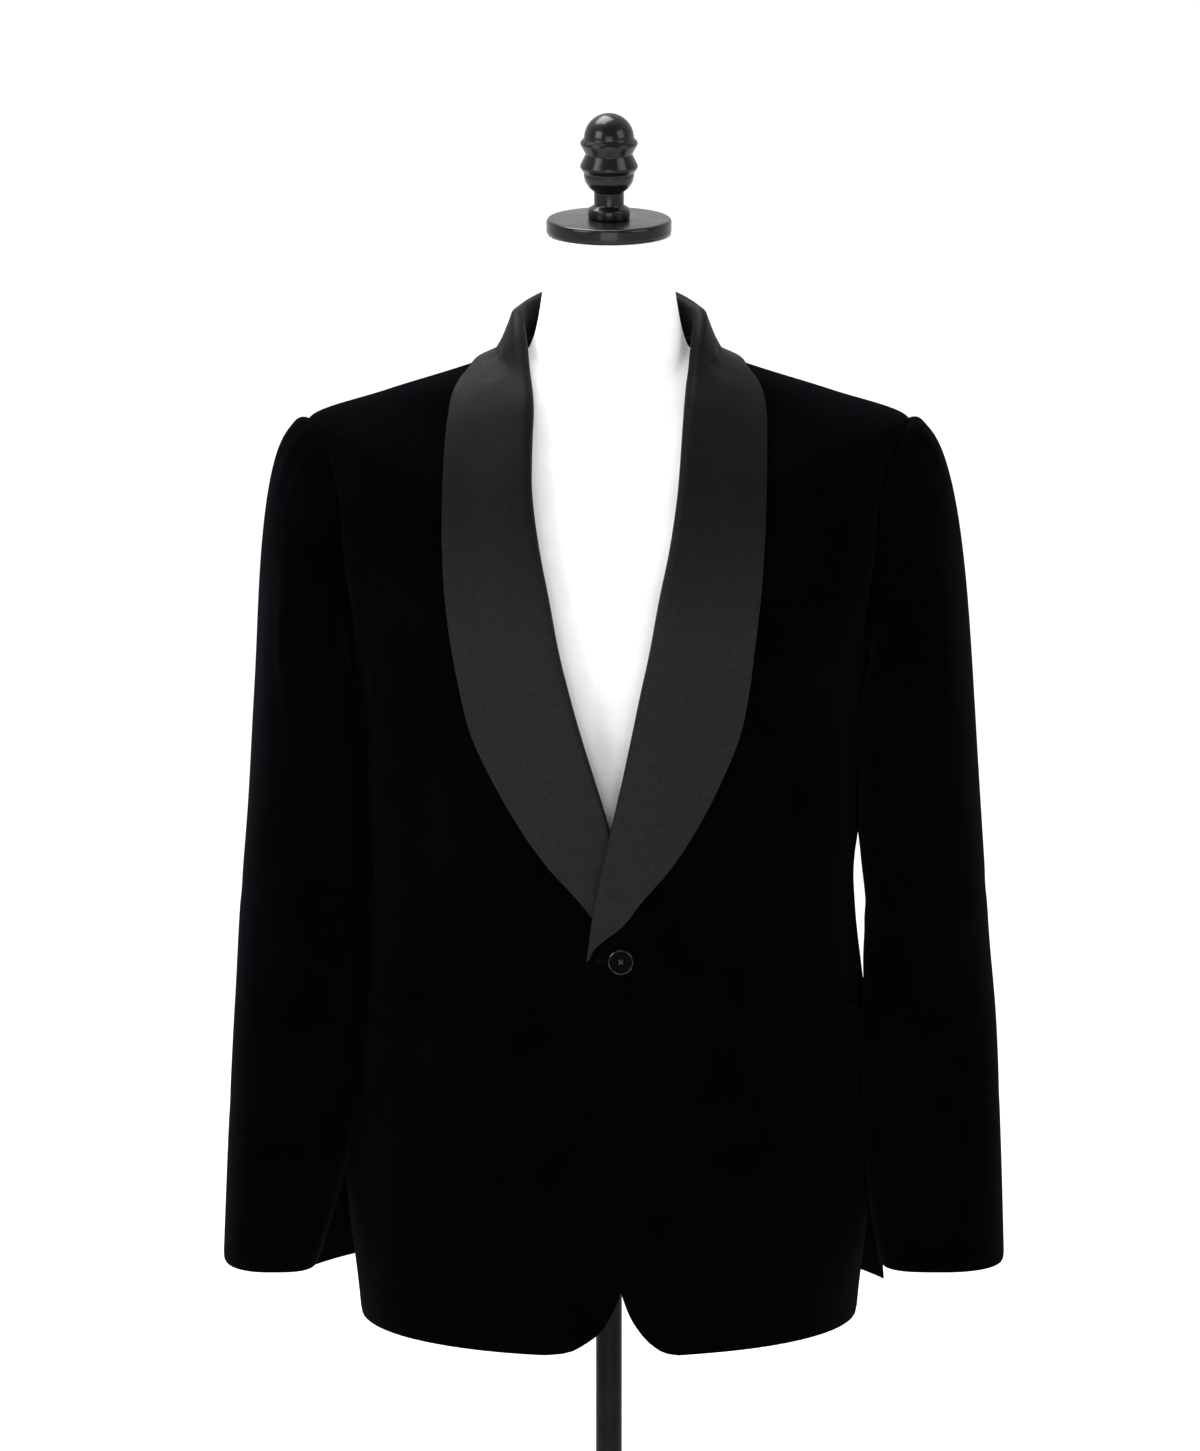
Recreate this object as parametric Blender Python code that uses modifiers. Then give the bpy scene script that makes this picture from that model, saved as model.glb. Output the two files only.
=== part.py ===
"""Tuxedo blazer on a dress form.

Every cut piece is a thin closed wall laid on one figure. The figure is a stack of rings: a place on it is
an angle round the body, 0 at the centre front, 90 at the side and 180 at the centre back, and a height,
which is the ring's own height at the side of the body. Lengths are in metres, +Z up, the front faces -Y,
and the wearer's left is +X. Each piece is worked out for the left and mirrored for the right.
"""
import bpy
import numpy as np

for old in list(bpy.data.objects):
    bpy.data.objects.remove(old, do_unlink=True)

# Cloth, and the air left between pieces
VELVET = 0.0016
SATIN = 0.0014
SEAM = 0.0003
AIR = 0.0004

# The figure: ring height at the side, centre front and centre back, half width, front depth, back depth,
# and squareness, where 2 is an ellipse
FIGURE = (
    (0.600, 0.592, 0.620, 0.191, 0.135, 0.139, 2.35),
    (0.652, 0.644, 0.672, 0.194, 0.135, 0.140, 2.35),
    (0.780, 0.776, 0.790, 0.206, 0.134, 0.140, 2.35),
    (0.900, 0.898, 0.904, 0.200, 0.129, 0.128, 2.35),
    (0.987, 0.986, 0.988, 0.192, 0.125, 0.113, 2.35),
    (1.090, 1.090, 1.090, 0.196, 0.131, 0.118, 2.35),
    (1.190, 1.188, 1.192, 0.2035, 0.136, 0.126, 2.30),
    (1.272, 1.255, 1.266, 0.226, 0.132, 0.124, 2.05),
    (1.3615, 1.306, 1.328, 0.235, 0.115, 0.108, 1.68),
    (1.384, 1.337, 1.362, 0.176, 0.101, 0.091, 1.68),
    (1.404, 1.366, 1.402, 0.110, 0.085, 0.073, 1.85),
    (1.4145, 1.383, 1.424, 0.079, 0.074, 0.062, 2.00),
    (1.441, 1.409, 1.457, 0.0700, 0.066, 0.057, 2.10),
    (1.470, 1.440, 1.488, 0.0680, 0.064, 0.055, 2.10),
)
HEM = 0.652
NECKLINE = 1.4145

# Seams, as angles round the figure, and the side vents
SIDE_SEAM = 80.0
BACK_SEAM = 109.0
SHOULDER_SEAM = 90.0
VENT_TOP = 0.865
VENT_UNDERLAP = 9.0
UNDERLAP_DROP = VELVET + 2 * AIR
TAIL_FLARE = {"left": 0.030, "right": 0.045}
TAIL_RISE = {"left": 0.011, "right": 0.023}

# Ring heights that the pieces' rows share, so that their seams run side by side
BODY_ROWS = (HEM, 0.690, 0.735, 0.785, 0.825, 0.845, VENT_TOP, 0.885, 0.925, 0.975, 1.030, 1.090, 1.150)
CORNER_ROWS = (0.6538, 0.6570, 0.6640, 0.6750)
ARM_ROWS_TOP = 1.335
SHOULDER_ROWS = (1.3525, 1.3615, 1.378, 1.396, NECKLINE)

# The armhole, an oval in angle and height
ARMHOLE_REACH = 23.5
ARMHOLE_MIDDLE = 1.272
ARMHOLE_TOP = 1.3615
ARMHOLE_ROUND = 2.3

# Front edges, and roll lines above: height, then how far the left and the right one lie from the centre
FRONT_EDGE = (
    (0.6440, 0.0580, 0.0560),
    (0.6465, 0.0443, 0.0332),
    (0.6535, 0.0330, 0.0189),
    (0.6640, 0.0236, 0.0060),
    (0.6770, 0.0158, -0.0020),
    (0.6970, 0.0088, -0.0100),
    (0.7320, 0.0010, -0.0150),
    (0.7680, -0.0060, -0.0168),
    (0.8150, -0.0104, -0.0173),
    (0.8780, -0.0150, -0.0173),
    (0.9580, -0.0173, -0.0173),
    (0.9940, -0.0115, -0.0115),
    (1.0550, 0.0005, 0.0005),
    (1.1090, 0.0136, 0.0136),
    (1.1600, 0.0256, 0.0256),
    (1.2050, 0.0360, 0.0360),
    (1.2640, 0.0470, 0.0470),
    (1.2940, 0.0535, 0.0535),
    (1.3580, 0.0624, 0.0624),
    (1.3850, 0.0652, 0.0652),
    (1.4020, 0.0670, 0.0670),
    (1.4160, 0.0682, 0.0682),
    (1.4240, 0.0688, 0.0688),
)
# How far a front's edge stops short of the collar's fold
EDGE_INSIDE = 0.005
# How far the left front stands over the right one: height, lift
LAP = ((0.60, 0.0022), (0.88, 0.0022), (0.945, 0.0064), (1.10, 0.0064), (1.20, 0.0), (1.50, 0.0))
LAP_FADE = (0.030, 0.085)

# How much further out each lapel's fold lies than its roll line above: height, left, right
ROLL_BACK = (
    (0.960, 0.0000, 0.0000),
    (0.990, 0.0012, 0.0000),
    (1.030, 0.0018, 0.0000),
    (1.062, 0.0018, 0.0003),
    (1.092, 0.0018, 0.0022),
    (1.125, 0.0018, 0.0050),
    (1.160, 0.0018, 0.0080),
    (1.250, 0.0018, 0.0088),
    (1.310, 0.0016, 0.0084),
    (1.345, 0.0008, 0.0056),
    (1.370, 0.0000, 0.0016),
    (1.385, 0.0000, 0.0000),
    (1.450, 0.0000, 0.0000),
)
# Shawl collar in front: height, roll line, left outer edge, right outer edge
LAPEL = (
    (0.9635, -0.0163, -0.0138, -0.0138),
    (0.9685, -0.0155, -0.0110, -0.0110),
    (0.9760, -0.0145, -0.0030, -0.0030),
    (0.9840, -0.0133, 0.0075, 0.0060),
    (1.0070, -0.0093, 0.0257, 0.0249),
    (1.0320, -0.0045, 0.0468, 0.0473),
    (1.0700, 0.0038, 0.0718, 0.0733),
    (1.1000, 0.0113, 0.0866, 0.0897),
    (1.1380, 0.0205, 0.1014, 0.1069),
    (1.1700, 0.0280, 0.1076, 0.1148),
    (1.2040, 0.0360, 0.1115, 0.1213),
    (1.2430, 0.0430, 0.1162, 0.1264),
    (1.2840, 0.0513, 0.1200, 0.1288),
    (1.3250, 0.0578, 0.1216, 0.1284),
)
# Shawl collar up to the shoulder: roll line and its height, left outer edge, right outer edge and their
# height, share bridged straight
GORGE = (
    (0.0625, 1.3600, 0.1222, 0.1268, 1.3560, 0.00),
    (0.0652, 1.3850, 0.1216, 0.1240, 1.3750, 0.04),
    (0.0670, 1.4020, 0.1190, 0.1206, 1.3880, 0.10),
    (0.0682, 1.4160, 0.1140, 0.1150, 1.3965, 0.20),
    (0.0690, 1.4280, 0.1085, 0.1092, 1.4015, 0.30),
)
# Shawl collar round the neck: fold angle and height, outer edge angle and height, share bridged straight
COLLAR = (
    (90.0, 1.4410, 90.0, 1.4060, 0.40),
    (112.0, 1.4410, 112.0, 1.4065, 0.40),
    (135.0, 1.4410, 135.0, 1.4070, 0.40),
    (158.0, 1.4410, 158.0, 1.4080, 0.40),
    (180.0, 1.4410, 180.0, 1.4080, 0.40),
)
LEG_FRONT = 0.008
LEG_NECK = 0.026
ROLL = ((0.96, 0.0), (1.07, 0.0), (1.18, 0.0045), (1.36, 0.0040), (1.42, 0.0025), (1.47, 0.0025))
# Air between collar and fronts by height: under the fall, and outside the leg
COLLAR_AIR = (
    (0.960, 0.0009),
    (1.060, 0.0009),
    (1.120, 0.0019),
    (1.340, 0.0024),
    (1.380, 0.0032),
    (1.440, 0.0032),
)
LEG_AIR = (
    (0.960, 0.0007),
    (1.060, 0.0007),
    (1.120, 0.0012),
    (1.340, 0.0014),
    (1.380, 0.0032),
    (1.415, 0.0032),
    (1.440, 0.0014),
)
WELT_ROOM = 0.0019
WELT_LEVEL = 1.222
WELT_SPREAD = 0.045

# Sleeves from the upper arm down: height, inner and outer side, front, back
SLEEVES = {
    "left": (
        (1.150, 0.1900, 0.2845, -0.072, 0.082),
        (1.060, 0.1900, 0.2900, -0.066, 0.078),
        (0.970, 0.2000, 0.2960, -0.064, 0.068),
        (0.880, 0.1900, 0.3030, -0.070, 0.052),
        (0.790, 0.1960, 0.3065, -0.078, 0.036),
        (0.700, 0.2110, 0.3090, -0.086, 0.022),
    ),
    "right": (
        (1.150, 0.1850, 0.2768, -0.072, 0.082),
        (1.060, 0.1780, 0.2816, -0.066, 0.078),
        (0.970, 0.1740, 0.2885, -0.064, 0.068),
        (0.880, 0.1820, 0.2935, -0.070, 0.052),
        (0.790, 0.2000, 0.2978, -0.078, 0.036),
        (0.700, 0.2270, 0.3014, -0.086, 0.022),
    ),
}
SLEEVE_FRONT_SEAM = 122.0
SLEEVE_BACK_SEAM = 238.0
# How a sleeve leaves the armhole: spread to front and back, rise at the top, fall under the arm
LEAVE_SPREAD = 0.40
LEAVE_RISE = 0.10
LEAVE_FALL = 0.30
HEAD_PULL = (0.070, 0.040)
ARM_PULL = (0.140, 0.110)
ARM_STEP = 0.01
# A sleeve's section is squarer on its inner side, where it is pressed to the body at this distance
SLEEVE_SQUARE = {"outer": 0.90, "inner": 0.60}
SLEEVE_CLEAR = 0.0032
SLEEVE_PRESS = 0.0030
SLEEVE_GAP = 0.0007
SLEEVE_SEAM = 0.0005

# Sleeve folds: height, side (angle round the arm), depth in, half length up and down, half width
SLEEVE_FOLDS = {
    "left": (
        (1.02, 95.0, 0.0040, 0.030, 34.0),
        (0.95, 60.0, 0.0045, 0.028, 40.0),
        (0.83, 75.0, 0.0035, 0.035, 40.0),
    ),
    "right": (
        (1.04, 80.0, 0.0040, 0.030, 34.0),
        (0.93, 62.0, 0.0045, 0.028, 38.0),
        (0.86, 90.0, 0.0035, 0.030, 38.0),
    ),
}

# Pockets and button on the fronts: across from the centre, height
WELT_CORNERS = {"inner": (0.100, 1.2035, 1.2325), "outer": (0.181, 1.2097, 1.2380)}
JET_INNER = (0.1195, 0.9145)
JET_OUTER = (0.1905, 0.9100)
JET_HEIGHT = 0.0058
JET_THICK = 0.0012
PATCH_AIR = 0.0008
BUTTON_AT = (0.0090, 0.9585)
BUTTON_RADIUS = 0.0100
BUTTON_THICK = 0.0034
BUTTON_RIM = 0.0022
BUTTON_DISH = 0.0008
BUTTON_HOLE_RADIUS = 0.0010
BUTTON_HOLE_OUT = 0.0021

# Dress form: ring height at the side, front and back, half width, front and back depth, squareness
FORM = (
    (0.7400, 0.7400, 0.7400, 0.170, 0.100, 0.108, 2.20),
    (0.7700, 0.7700, 0.7700, 0.182, 0.110, 0.118, 2.20),
    (0.8300, 0.8300, 0.8300, 0.183, 0.111, 0.116, 2.20),
    (0.9100, 0.9100, 0.9100, 0.174, 0.106, 0.102, 2.20),
    (0.9870, 0.9870, 0.9870, 0.164, 0.101, 0.091, 2.20),
    (1.0800, 1.0800, 1.0800, 0.168, 0.107, 0.095, 2.20),
    (1.1700, 1.1690, 1.1700, 0.180, 0.114, 0.103, 2.20),
    (1.2500, 1.2380, 1.2450, 0.194, 0.112, 0.102, 2.00),
    (1.3200, 1.2800, 1.2950, 0.203, 0.100, 0.090, 1.80),
    (1.3560, 1.3030, 1.3200, 0.198, 0.090, 0.081, 1.68),
    (1.3800, 1.3250, 1.3460, 0.174, 0.081, 0.072, 1.68),
    (1.3957, 1.3430, 1.3700, 0.1288, 0.072, 0.064, 1.75),
    (1.4090, 1.3620, 1.3960, 0.0860, 0.064, 0.056, 1.85),
    (1.4190, 1.3830, 1.4150, 0.062, 0.056, 0.051, 2.00),
    (1.4480, 1.4300, 1.4480, 0.054, 0.052, 0.050, 2.00),
    (1.4800, 1.4760, 1.4800, 0.050, 0.050, 0.049, 2.00),
    (1.5090, 1.5090, 1.5090, 0.0484, 0.0484, 0.0484, 2.00),
)

# Hard parts of the stand
CAP_RADIUS = 0.0487
CAP_BOTTOM = 1.5093
CAP_TOP = 1.5214
CAP_ROUND = 0.0030
FINIAL_BOTTOM = CAP_TOP + SEAM
POLE_RADIUS = 0.0102
POLE_BOTTOM = 0.0303
POLE_TOP = 0.7000
FLANGE_RADIUS = 0.045
FLANGE_THICK = 0.012
BOSS_RADIUS = 0.024
BASE_RADIUS = 0.180
BASE_EDGE = 0.009
BASE_BOSS_TOP = 0.030
TURNS = 32

PARTS = bpy.data.collections.new("tuxedo_blazer_on_dress_form")
CUTTERS = bpy.data.collections.new("cutters")
for collection in (PARTS, CUTTERS):
    bpy.context.scene.collection.children.link(collection)


def make_material(name, colour, roughness, metallic=0.0):
    """A Principled material of one colour."""
    material = bpy.data.materials.new(name)
    material.use_nodes = True
    shader = material.node_tree.nodes["Principled BSDF"]
    shader.inputs["Base Color"].default_value = (*colour, 1.0)
    shader.inputs["Roughness"].default_value = roughness
    shader.inputs["Metallic"].default_value = metallic
    return material


MATERIALS = {
    "velvet": make_material("black_velvet", (0.008, 0.008, 0.010), 0.90),
    "satin": make_material("ribbed_satin", (0.030, 0.031, 0.034), 0.55),
    "button": make_material("black_button", (0.012, 0.012, 0.013), 0.22),
    "jersey": make_material("white_jersey", (0.80, 0.79, 0.77), 0.85),
    "cap": make_material("black_cap", (0.010, 0.010, 0.011), 0.30),
    "steel": make_material("black_steel", (0.018, 0.018, 0.019), 0.35, 0.6),
}


def row_slopes(places, values):
    """Slopes at a table's rows that never overshoot: the harmonic mean of the slopes to either side."""
    secants = np.diff(values, axis=0) / np.diff(places)[:, None]
    before, after = secants[:-1], secants[1:]
    same_way = before * after > 0
    total = np.where(same_way, before + after, 1.0)
    middle = np.where(same_way, 2.0 * before * after / total, 0.0)
    return np.concatenate([secants[:1], middle, secants[-1:]])


def smooth_table(rows, at):
    """Read a table at `at`: its first column is the place, and cubic curves join the rows."""
    rows = np.asarray(rows, dtype=float)
    places, values = rows[:, 0], rows[:, 1:]
    slopes = row_slopes(places, values)
    at = np.clip(np.asarray(at, dtype=float), places[0], places[-1])
    row = np.clip(np.searchsorted(places, at, side="right") - 1, 0, len(places) - 2)
    step = (places[row + 1] - places[row])[..., None]
    t = (at[..., None] - places[row][..., None]) / step
    start = (2 * t**3 - 3 * t**2 + 1) * values[row] + (t**3 - 2 * t**2 + t) * step * slopes[row]
    end = (3 * t**2 - 2 * t**3) * values[row + 1] + (t**3 - t**2) * step * slopes[row + 1]
    return np.moveaxis(start + end, -1, 0)


def ease(low, high, at):
    """0 below low, 1 above high, and a smooth rise between."""
    t = np.clip((np.asarray(at, dtype=float) - low) / (high - low), 0.0, 1.0)
    return t * t * (3 - 2 * t)


def signed_power(value, power):
    """The value's size to a power, with its own sign."""
    return np.sign(value) * np.abs(value) ** power


def ring_point(rings, angle, height):
    """A point of a ring stack: a squared oval, its height blended from front and back to the side."""
    front, back, width, chest, spine, square = smooth_table(rings, height)
    turn = np.radians(angle)
    across, along = np.sin(turn), np.cos(turn)
    reach = (np.abs(across) ** square + np.abs(along) ** square) ** (-1.0 / square)
    ahead = along > 0
    end_height = np.where(ahead, front, back)
    depth = np.where(ahead, chest, spine)
    level = height + (end_height - height) * along**2
    return np.stack([width * across * reach, -depth * along * reach, level], axis=-1)


def figure(angle, height):
    """A point of the jacket's own figure."""
    angle, height = np.broadcast_arrays(np.asarray(angle, dtype=float), np.asarray(height, dtype=float))
    return ring_point(FIGURE, angle, height)


def outward(surface, first, second, small=(0.05, 0.0005)):
    """The unit normal of a surface of two values, pointing out of the body."""
    along_first = surface(first + small[0], second) - surface(first - small[0], second)
    along_second = surface(first, second + small[1]) - surface(first, second - small[1])
    normal = np.cross(along_first, along_second)
    return normal / np.linalg.norm(normal, axis=-1, keepdims=True)


def on_figure(across, level):
    """Angle and height of the place on the front that lies `across` from the centre at `level`."""
    across, level = np.broadcast_arrays(np.asarray(across, dtype=float), np.asarray(level, dtype=float))
    height = level.copy()
    for _ in range(60):
        front, _, width, _, _, square = smooth_table(FIGURE, height)
        share = np.clip(np.abs(across) / width, 0.0, 1.0)
        ahead = (1.0 - share**square) ** (1.0 / square)
        angle = np.degrees(np.arctan2(np.sign(across) * share, ahead))
        found = height + (front - height) * np.cos(np.radians(angle)) ** 2
        height = height + 0.7 * (level - found)
    return angle, height


def lap_lift(side, point):
    """How far a front stands off the figure: only the left one, where it lies over the right."""
    if side == "right":
        return np.zeros(point.shape[:-1])
    (lift,) = smooth_table(LAP, point[..., 2])
    return np.clip(lift, 0.0, None) * (1.0 - ease(*LAP_FADE, point[..., 0]))


def panel_point(side, angle, height, lift):
    """A point at `lift` over the outside of a front."""
    base = figure(angle, height)
    return base + (lap_lift(side, base) + lift)[..., None] * outward(figure, angle, height)


def beside(angle, height, distance):
    """The angle that lies `distance` further round the ring."""
    step = 0.25
    speed = np.linalg.norm(figure(angle + step, height) - figure(angle, height), axis=-1) / step
    return angle + distance / speed


def finish_mesh(name, points, faces, material, side="left"):
    """A named object in the parts collection, mirrored for the right side."""
    points = np.array(points, dtype=float)
    if side == "right":
        points[:, 0] *= -1.0
        faces = [tuple(reversed(face)) for face in faces]
    mesh = bpy.data.meshes.new(name)
    mesh.from_pydata([tuple(point) for point in points], [], faces)
    mesh.update()
    thing = bpy.data.objects.new(name, mesh)
    mesh.materials.append(MATERIALS[material])
    PARTS.objects.link(thing)
    return thing


def wall(name, outer, inner, material, side="left"):
    """A closed wall between two like grids of points, rows upward and columns to the right from outside."""
    rows, columns = outer.shape[:2]
    count = rows * columns
    points = np.concatenate([outer.reshape(-1, 3), inner.reshape(-1, 3)])

    def at(row, column):
        return row * columns + column

    faces = []
    for row in range(rows - 1):
        for column in range(columns - 1):
            quad = (at(row, column), at(row, column + 1), at(row + 1, column + 1), at(row + 1, column))
            faces.append(quad)
            faces.append(tuple(corner + count for corner in reversed(quad)))
    border = [at(0, column) for column in range(columns)]
    border += [at(row, columns - 1) for row in range(1, rows)]
    border += [at(rows - 1, column) for column in range(columns - 2, -1, -1)]
    border += [at(row, 0) for row in range(rows - 2, 0, -1)]
    for here, there in zip(border, border[1:] + border[:1]):
        faces.append((here, here + count, there + count, there))
    return finish_mesh(name, points, faces, material, side)


def tube(name, grid, material):
    """A closed solid round stacked rings, its first and last ring capped flat."""
    rows, columns = grid.shape[:2]
    faces = []
    for row in range(rows - 1):
        for column in range(columns):
            after = (column + 1) % columns
            low, high = row * columns, (row + 1) * columns
            faces.append((low + column, low + after, high + after, high + column))
    faces.append(tuple(range(columns - 1, -1, -1)))
    faces.append(tuple((rows - 1) * columns + column for column in range(columns)))
    return finish_mesh(name, grid.reshape(-1, 3), faces, material)


def turned(name, profile, material):
    """A profile of (radius, height), top to bottom, turned once round Z with a Screw modifier."""
    mesh = bpy.data.meshes.new(name)
    edges = [(index, index + 1) for index in range(len(profile) - 1)]
    mesh.from_pydata([(radius, 0.0, height) for radius, height in profile], edges, [])
    mesh.materials.append(MATERIALS[material])
    thing = bpy.data.objects.new(name, mesh)
    PARTS.objects.link(thing)
    screw = thing.modifiers.new("turn", "SCREW")
    screw.steps = TURNS
    screw.render_steps = TURNS
    screw.use_merge_vertices = True
    screw.merge_threshold = 0.00005
    return thing


def armhole_height(angle, above):
    """Height of the armhole's rim at an angle, on its upper or lower half."""
    share = np.clip(np.abs(np.asarray(angle, dtype=float) - SHOULDER_SEAM) / ARMHOLE_REACH, 0.0, 1.0)
    rise = (ARMHOLE_TOP - ARMHOLE_MIDDLE) * (1.0 - share**ARMHOLE_ROUND) ** (1.0 / ARMHOLE_ROUND)
    return ARMHOLE_MIDDLE + rise if above else ARMHOLE_MIDDLE - rise


def armhole_reach(height):
    """How many degrees the armhole reaches from the shoulder seam at a height."""
    share = np.clip(np.abs(height - ARMHOLE_MIDDLE) / (ARMHOLE_TOP - ARMHOLE_MIDDLE), 0.0, 1.0)
    return ARMHOLE_REACH * (1.0 - share**ARMHOLE_ROUND) ** (1.0 / ARMHOLE_ROUND)


FRONT_CORNER = float(armhole_height(SIDE_SEAM, False))
BACK_CORNER = float(armhole_height(BACK_SEAM, False))


def outer_edge(height, seam, corner, way):
    """Angle of a panel's outer edge: its seam up to the corner, then the armhole and the shoulder seam."""
    armhole = SHOULDER_SEAM + way * armhole_reach(height)
    above = np.where(height < ARMHOLE_TOP, armhole, SHOULDER_SEAM)
    edge = np.where(height <= corner, seam, above)
    return beside(edge, height, way * SEAM / 2)


def roll_back(side, level):
    """How far out a lapel's fold lies from its roll line, at a height."""
    left, right = smooth_table(ROLL_BACK, level)
    return left if side == "left" else right


def front_inner(side, height):
    """Angle of a front's inner edge, the front edge and then the roll line, at a ring height."""
    levels, left, right = np.asarray(FRONT_EDGE).T
    across = (left if side == "left" else right) + roll_back(side, levels)
    dense = np.linspace(0.0, len(levels) - 1.0, 120)
    steps = np.arange(len(levels), dtype=float)
    table = np.stack([steps, levels, across], axis=-1)
    level, x = smooth_table(table, dense)
    angle, ring = on_figure(x, level)
    return beside(np.interp(height, ring, angle), height, EDGE_INSIDE * ease(1.0, 1.12, height))


def front_rows():
    """Ring heights of a front's rows, with more at the rounded corner."""
    under_arm = [(BODY_ROWS[-1] + FRONT_CORNER) / 2]
    arm = np.linspace(FRONT_CORNER, ARM_ROWS_TOP, 6)
    return np.concatenate([BODY_ROWS[:1], CORNER_ROWS, BODY_ROWS[1:], under_arm, arm, SHOULDER_ROWS])


def make_front(side):
    """A front, from its rounded cutaway to the shoulder seam."""
    heights = front_rows()[:, None]
    share = np.linspace(0.0, 1.0, 14)[None, :] ** 1.15
    inner = front_inner(side, heights)
    outer = outer_edge(heights, SIDE_SEAM, FRONT_CORNER, -1)
    angle = inner + (outer - inner) * share
    height = np.broadcast_to(heights, angle.shape)
    still = np.zeros(angle.shape)
    over = panel_point(side, angle, height, still)
    under = panel_point(side, angle, height, still - VELVET)
    wall(f"front_{side}", over, under, "velvet", side)


def make_side(side):
    """A side body, from the hem up to the armhole, with its underlap at the vent."""
    share = np.linspace(0.0, 1.0, 7)[None, :]
    top = armhole_height(SIDE_SEAM + (BACK_SEAM - SIDE_SEAM) * share, False) - SEAM / 2
    body = np.asarray(BODY_ROWS)[:, None] * np.ones(share.shape)
    height = np.concatenate([body, (body[-1:] + top) / 2, top])
    below = 1.0 - ease(VENT_TOP - 0.03, VENT_TOP - 0.01, height)
    first = beside(np.full(height.shape, SIDE_SEAM), height, SEAM / 2)
    last = beside(np.full(height.shape, BACK_SEAM), height, -SEAM / 2) + VENT_UNDERLAP * below
    angle = first + (last - first) * share
    drop = UNDERLAP_DROP * (1.0 - ease(VENT_TOP, VENT_TOP + 0.02, height)) * ease(0.35, 0.75, share)
    normal = outward(figure, angle, height)
    over = figure(angle, height) - drop[..., None] * normal
    wall(f"side_{side}", over, over - VELVET * normal, "velvet", side)


def tail_share(angle, height):
    """0 at the vent's top and the centre back, 1 at the vent's edge on the hem: as height, as angle."""
    low = np.clip((VENT_TOP - height) / (VENT_TOP - HEM), 0.0, 1.0)
    near = np.clip((180.0 - angle) / (180.0 - BACK_SEAM), 0.0, 1.0)
    return low, near


def tail_lift(side, angle, height):
    """How far a back stands out below the vent's top, most at the vent's edge."""
    low, near = tail_share(angle, height)
    return TAIL_FLARE[side] * low**1.2 * near**1.4


def tail_height(side, angle, height):
    """Ring height of a back's row, drawn up towards the vent's edge."""
    low, near = tail_share(angle, height)
    return height + TAIL_RISE[side] * low**1.5 * near


def make_back(side):
    """A back, from the centre-back seam to the vent, armhole and shoulder seam."""
    under_arm = [(BODY_ROWS[-1] + BACK_CORNER) / 2]
    arm = np.linspace(BACK_CORNER, ARM_ROWS_TOP, 5)
    heights = np.concatenate([BODY_ROWS, under_arm, arm, SHOULDER_ROWS])[:, None]
    share = np.linspace(0.0, 1.0, 10)[None, :]
    outer = outer_edge(heights, BACK_SEAM, BACK_CORNER, 1)
    angle = outer + (180.0 - outer) * share
    lift = tail_lift(side, angle, heights)
    height = tail_height(side, angle, heights)
    normal = outward(figure, angle, height)
    over = figure(angle, height) + lift[..., None] * normal
    under = over - VELVET * normal
    over[:, -1, 0] = SEAM / 2
    under[:, -1, 0] = SEAM / 2
    wall(f"back_{side}", over, under, "velvet", side)


def collar_stations(side):
    """One row for each section of the shawl collar: fold and edge places, and the share bridged."""
    level, roll, left_edge, right_edge = np.asarray(LAPEL).T
    edge = left_edge if side == "left" else right_edge
    fold_angle, fold_height = on_figure(roll + roll_back(side, level), level)
    edge_angle, edge_height = on_figure(edge, level)
    lapel = np.stack([fold_angle, fold_height, edge_angle, edge_height, np.zeros(len(level))], axis=-1)
    roll, level, left_edge, right_edge, edge_level, bridge = np.asarray(GORGE).T
    fold_angle, fold_height = on_figure(roll + roll_back(side, level), level)
    edge_angle, edge_height = on_figure(left_edge if side == "left" else right_edge, edge_level)
    gorge = np.stack([fold_angle, fold_height, edge_angle, edge_height, bridge], axis=-1)
    return np.concatenate([lapel, gorge, np.asarray(COLLAR)])


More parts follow.
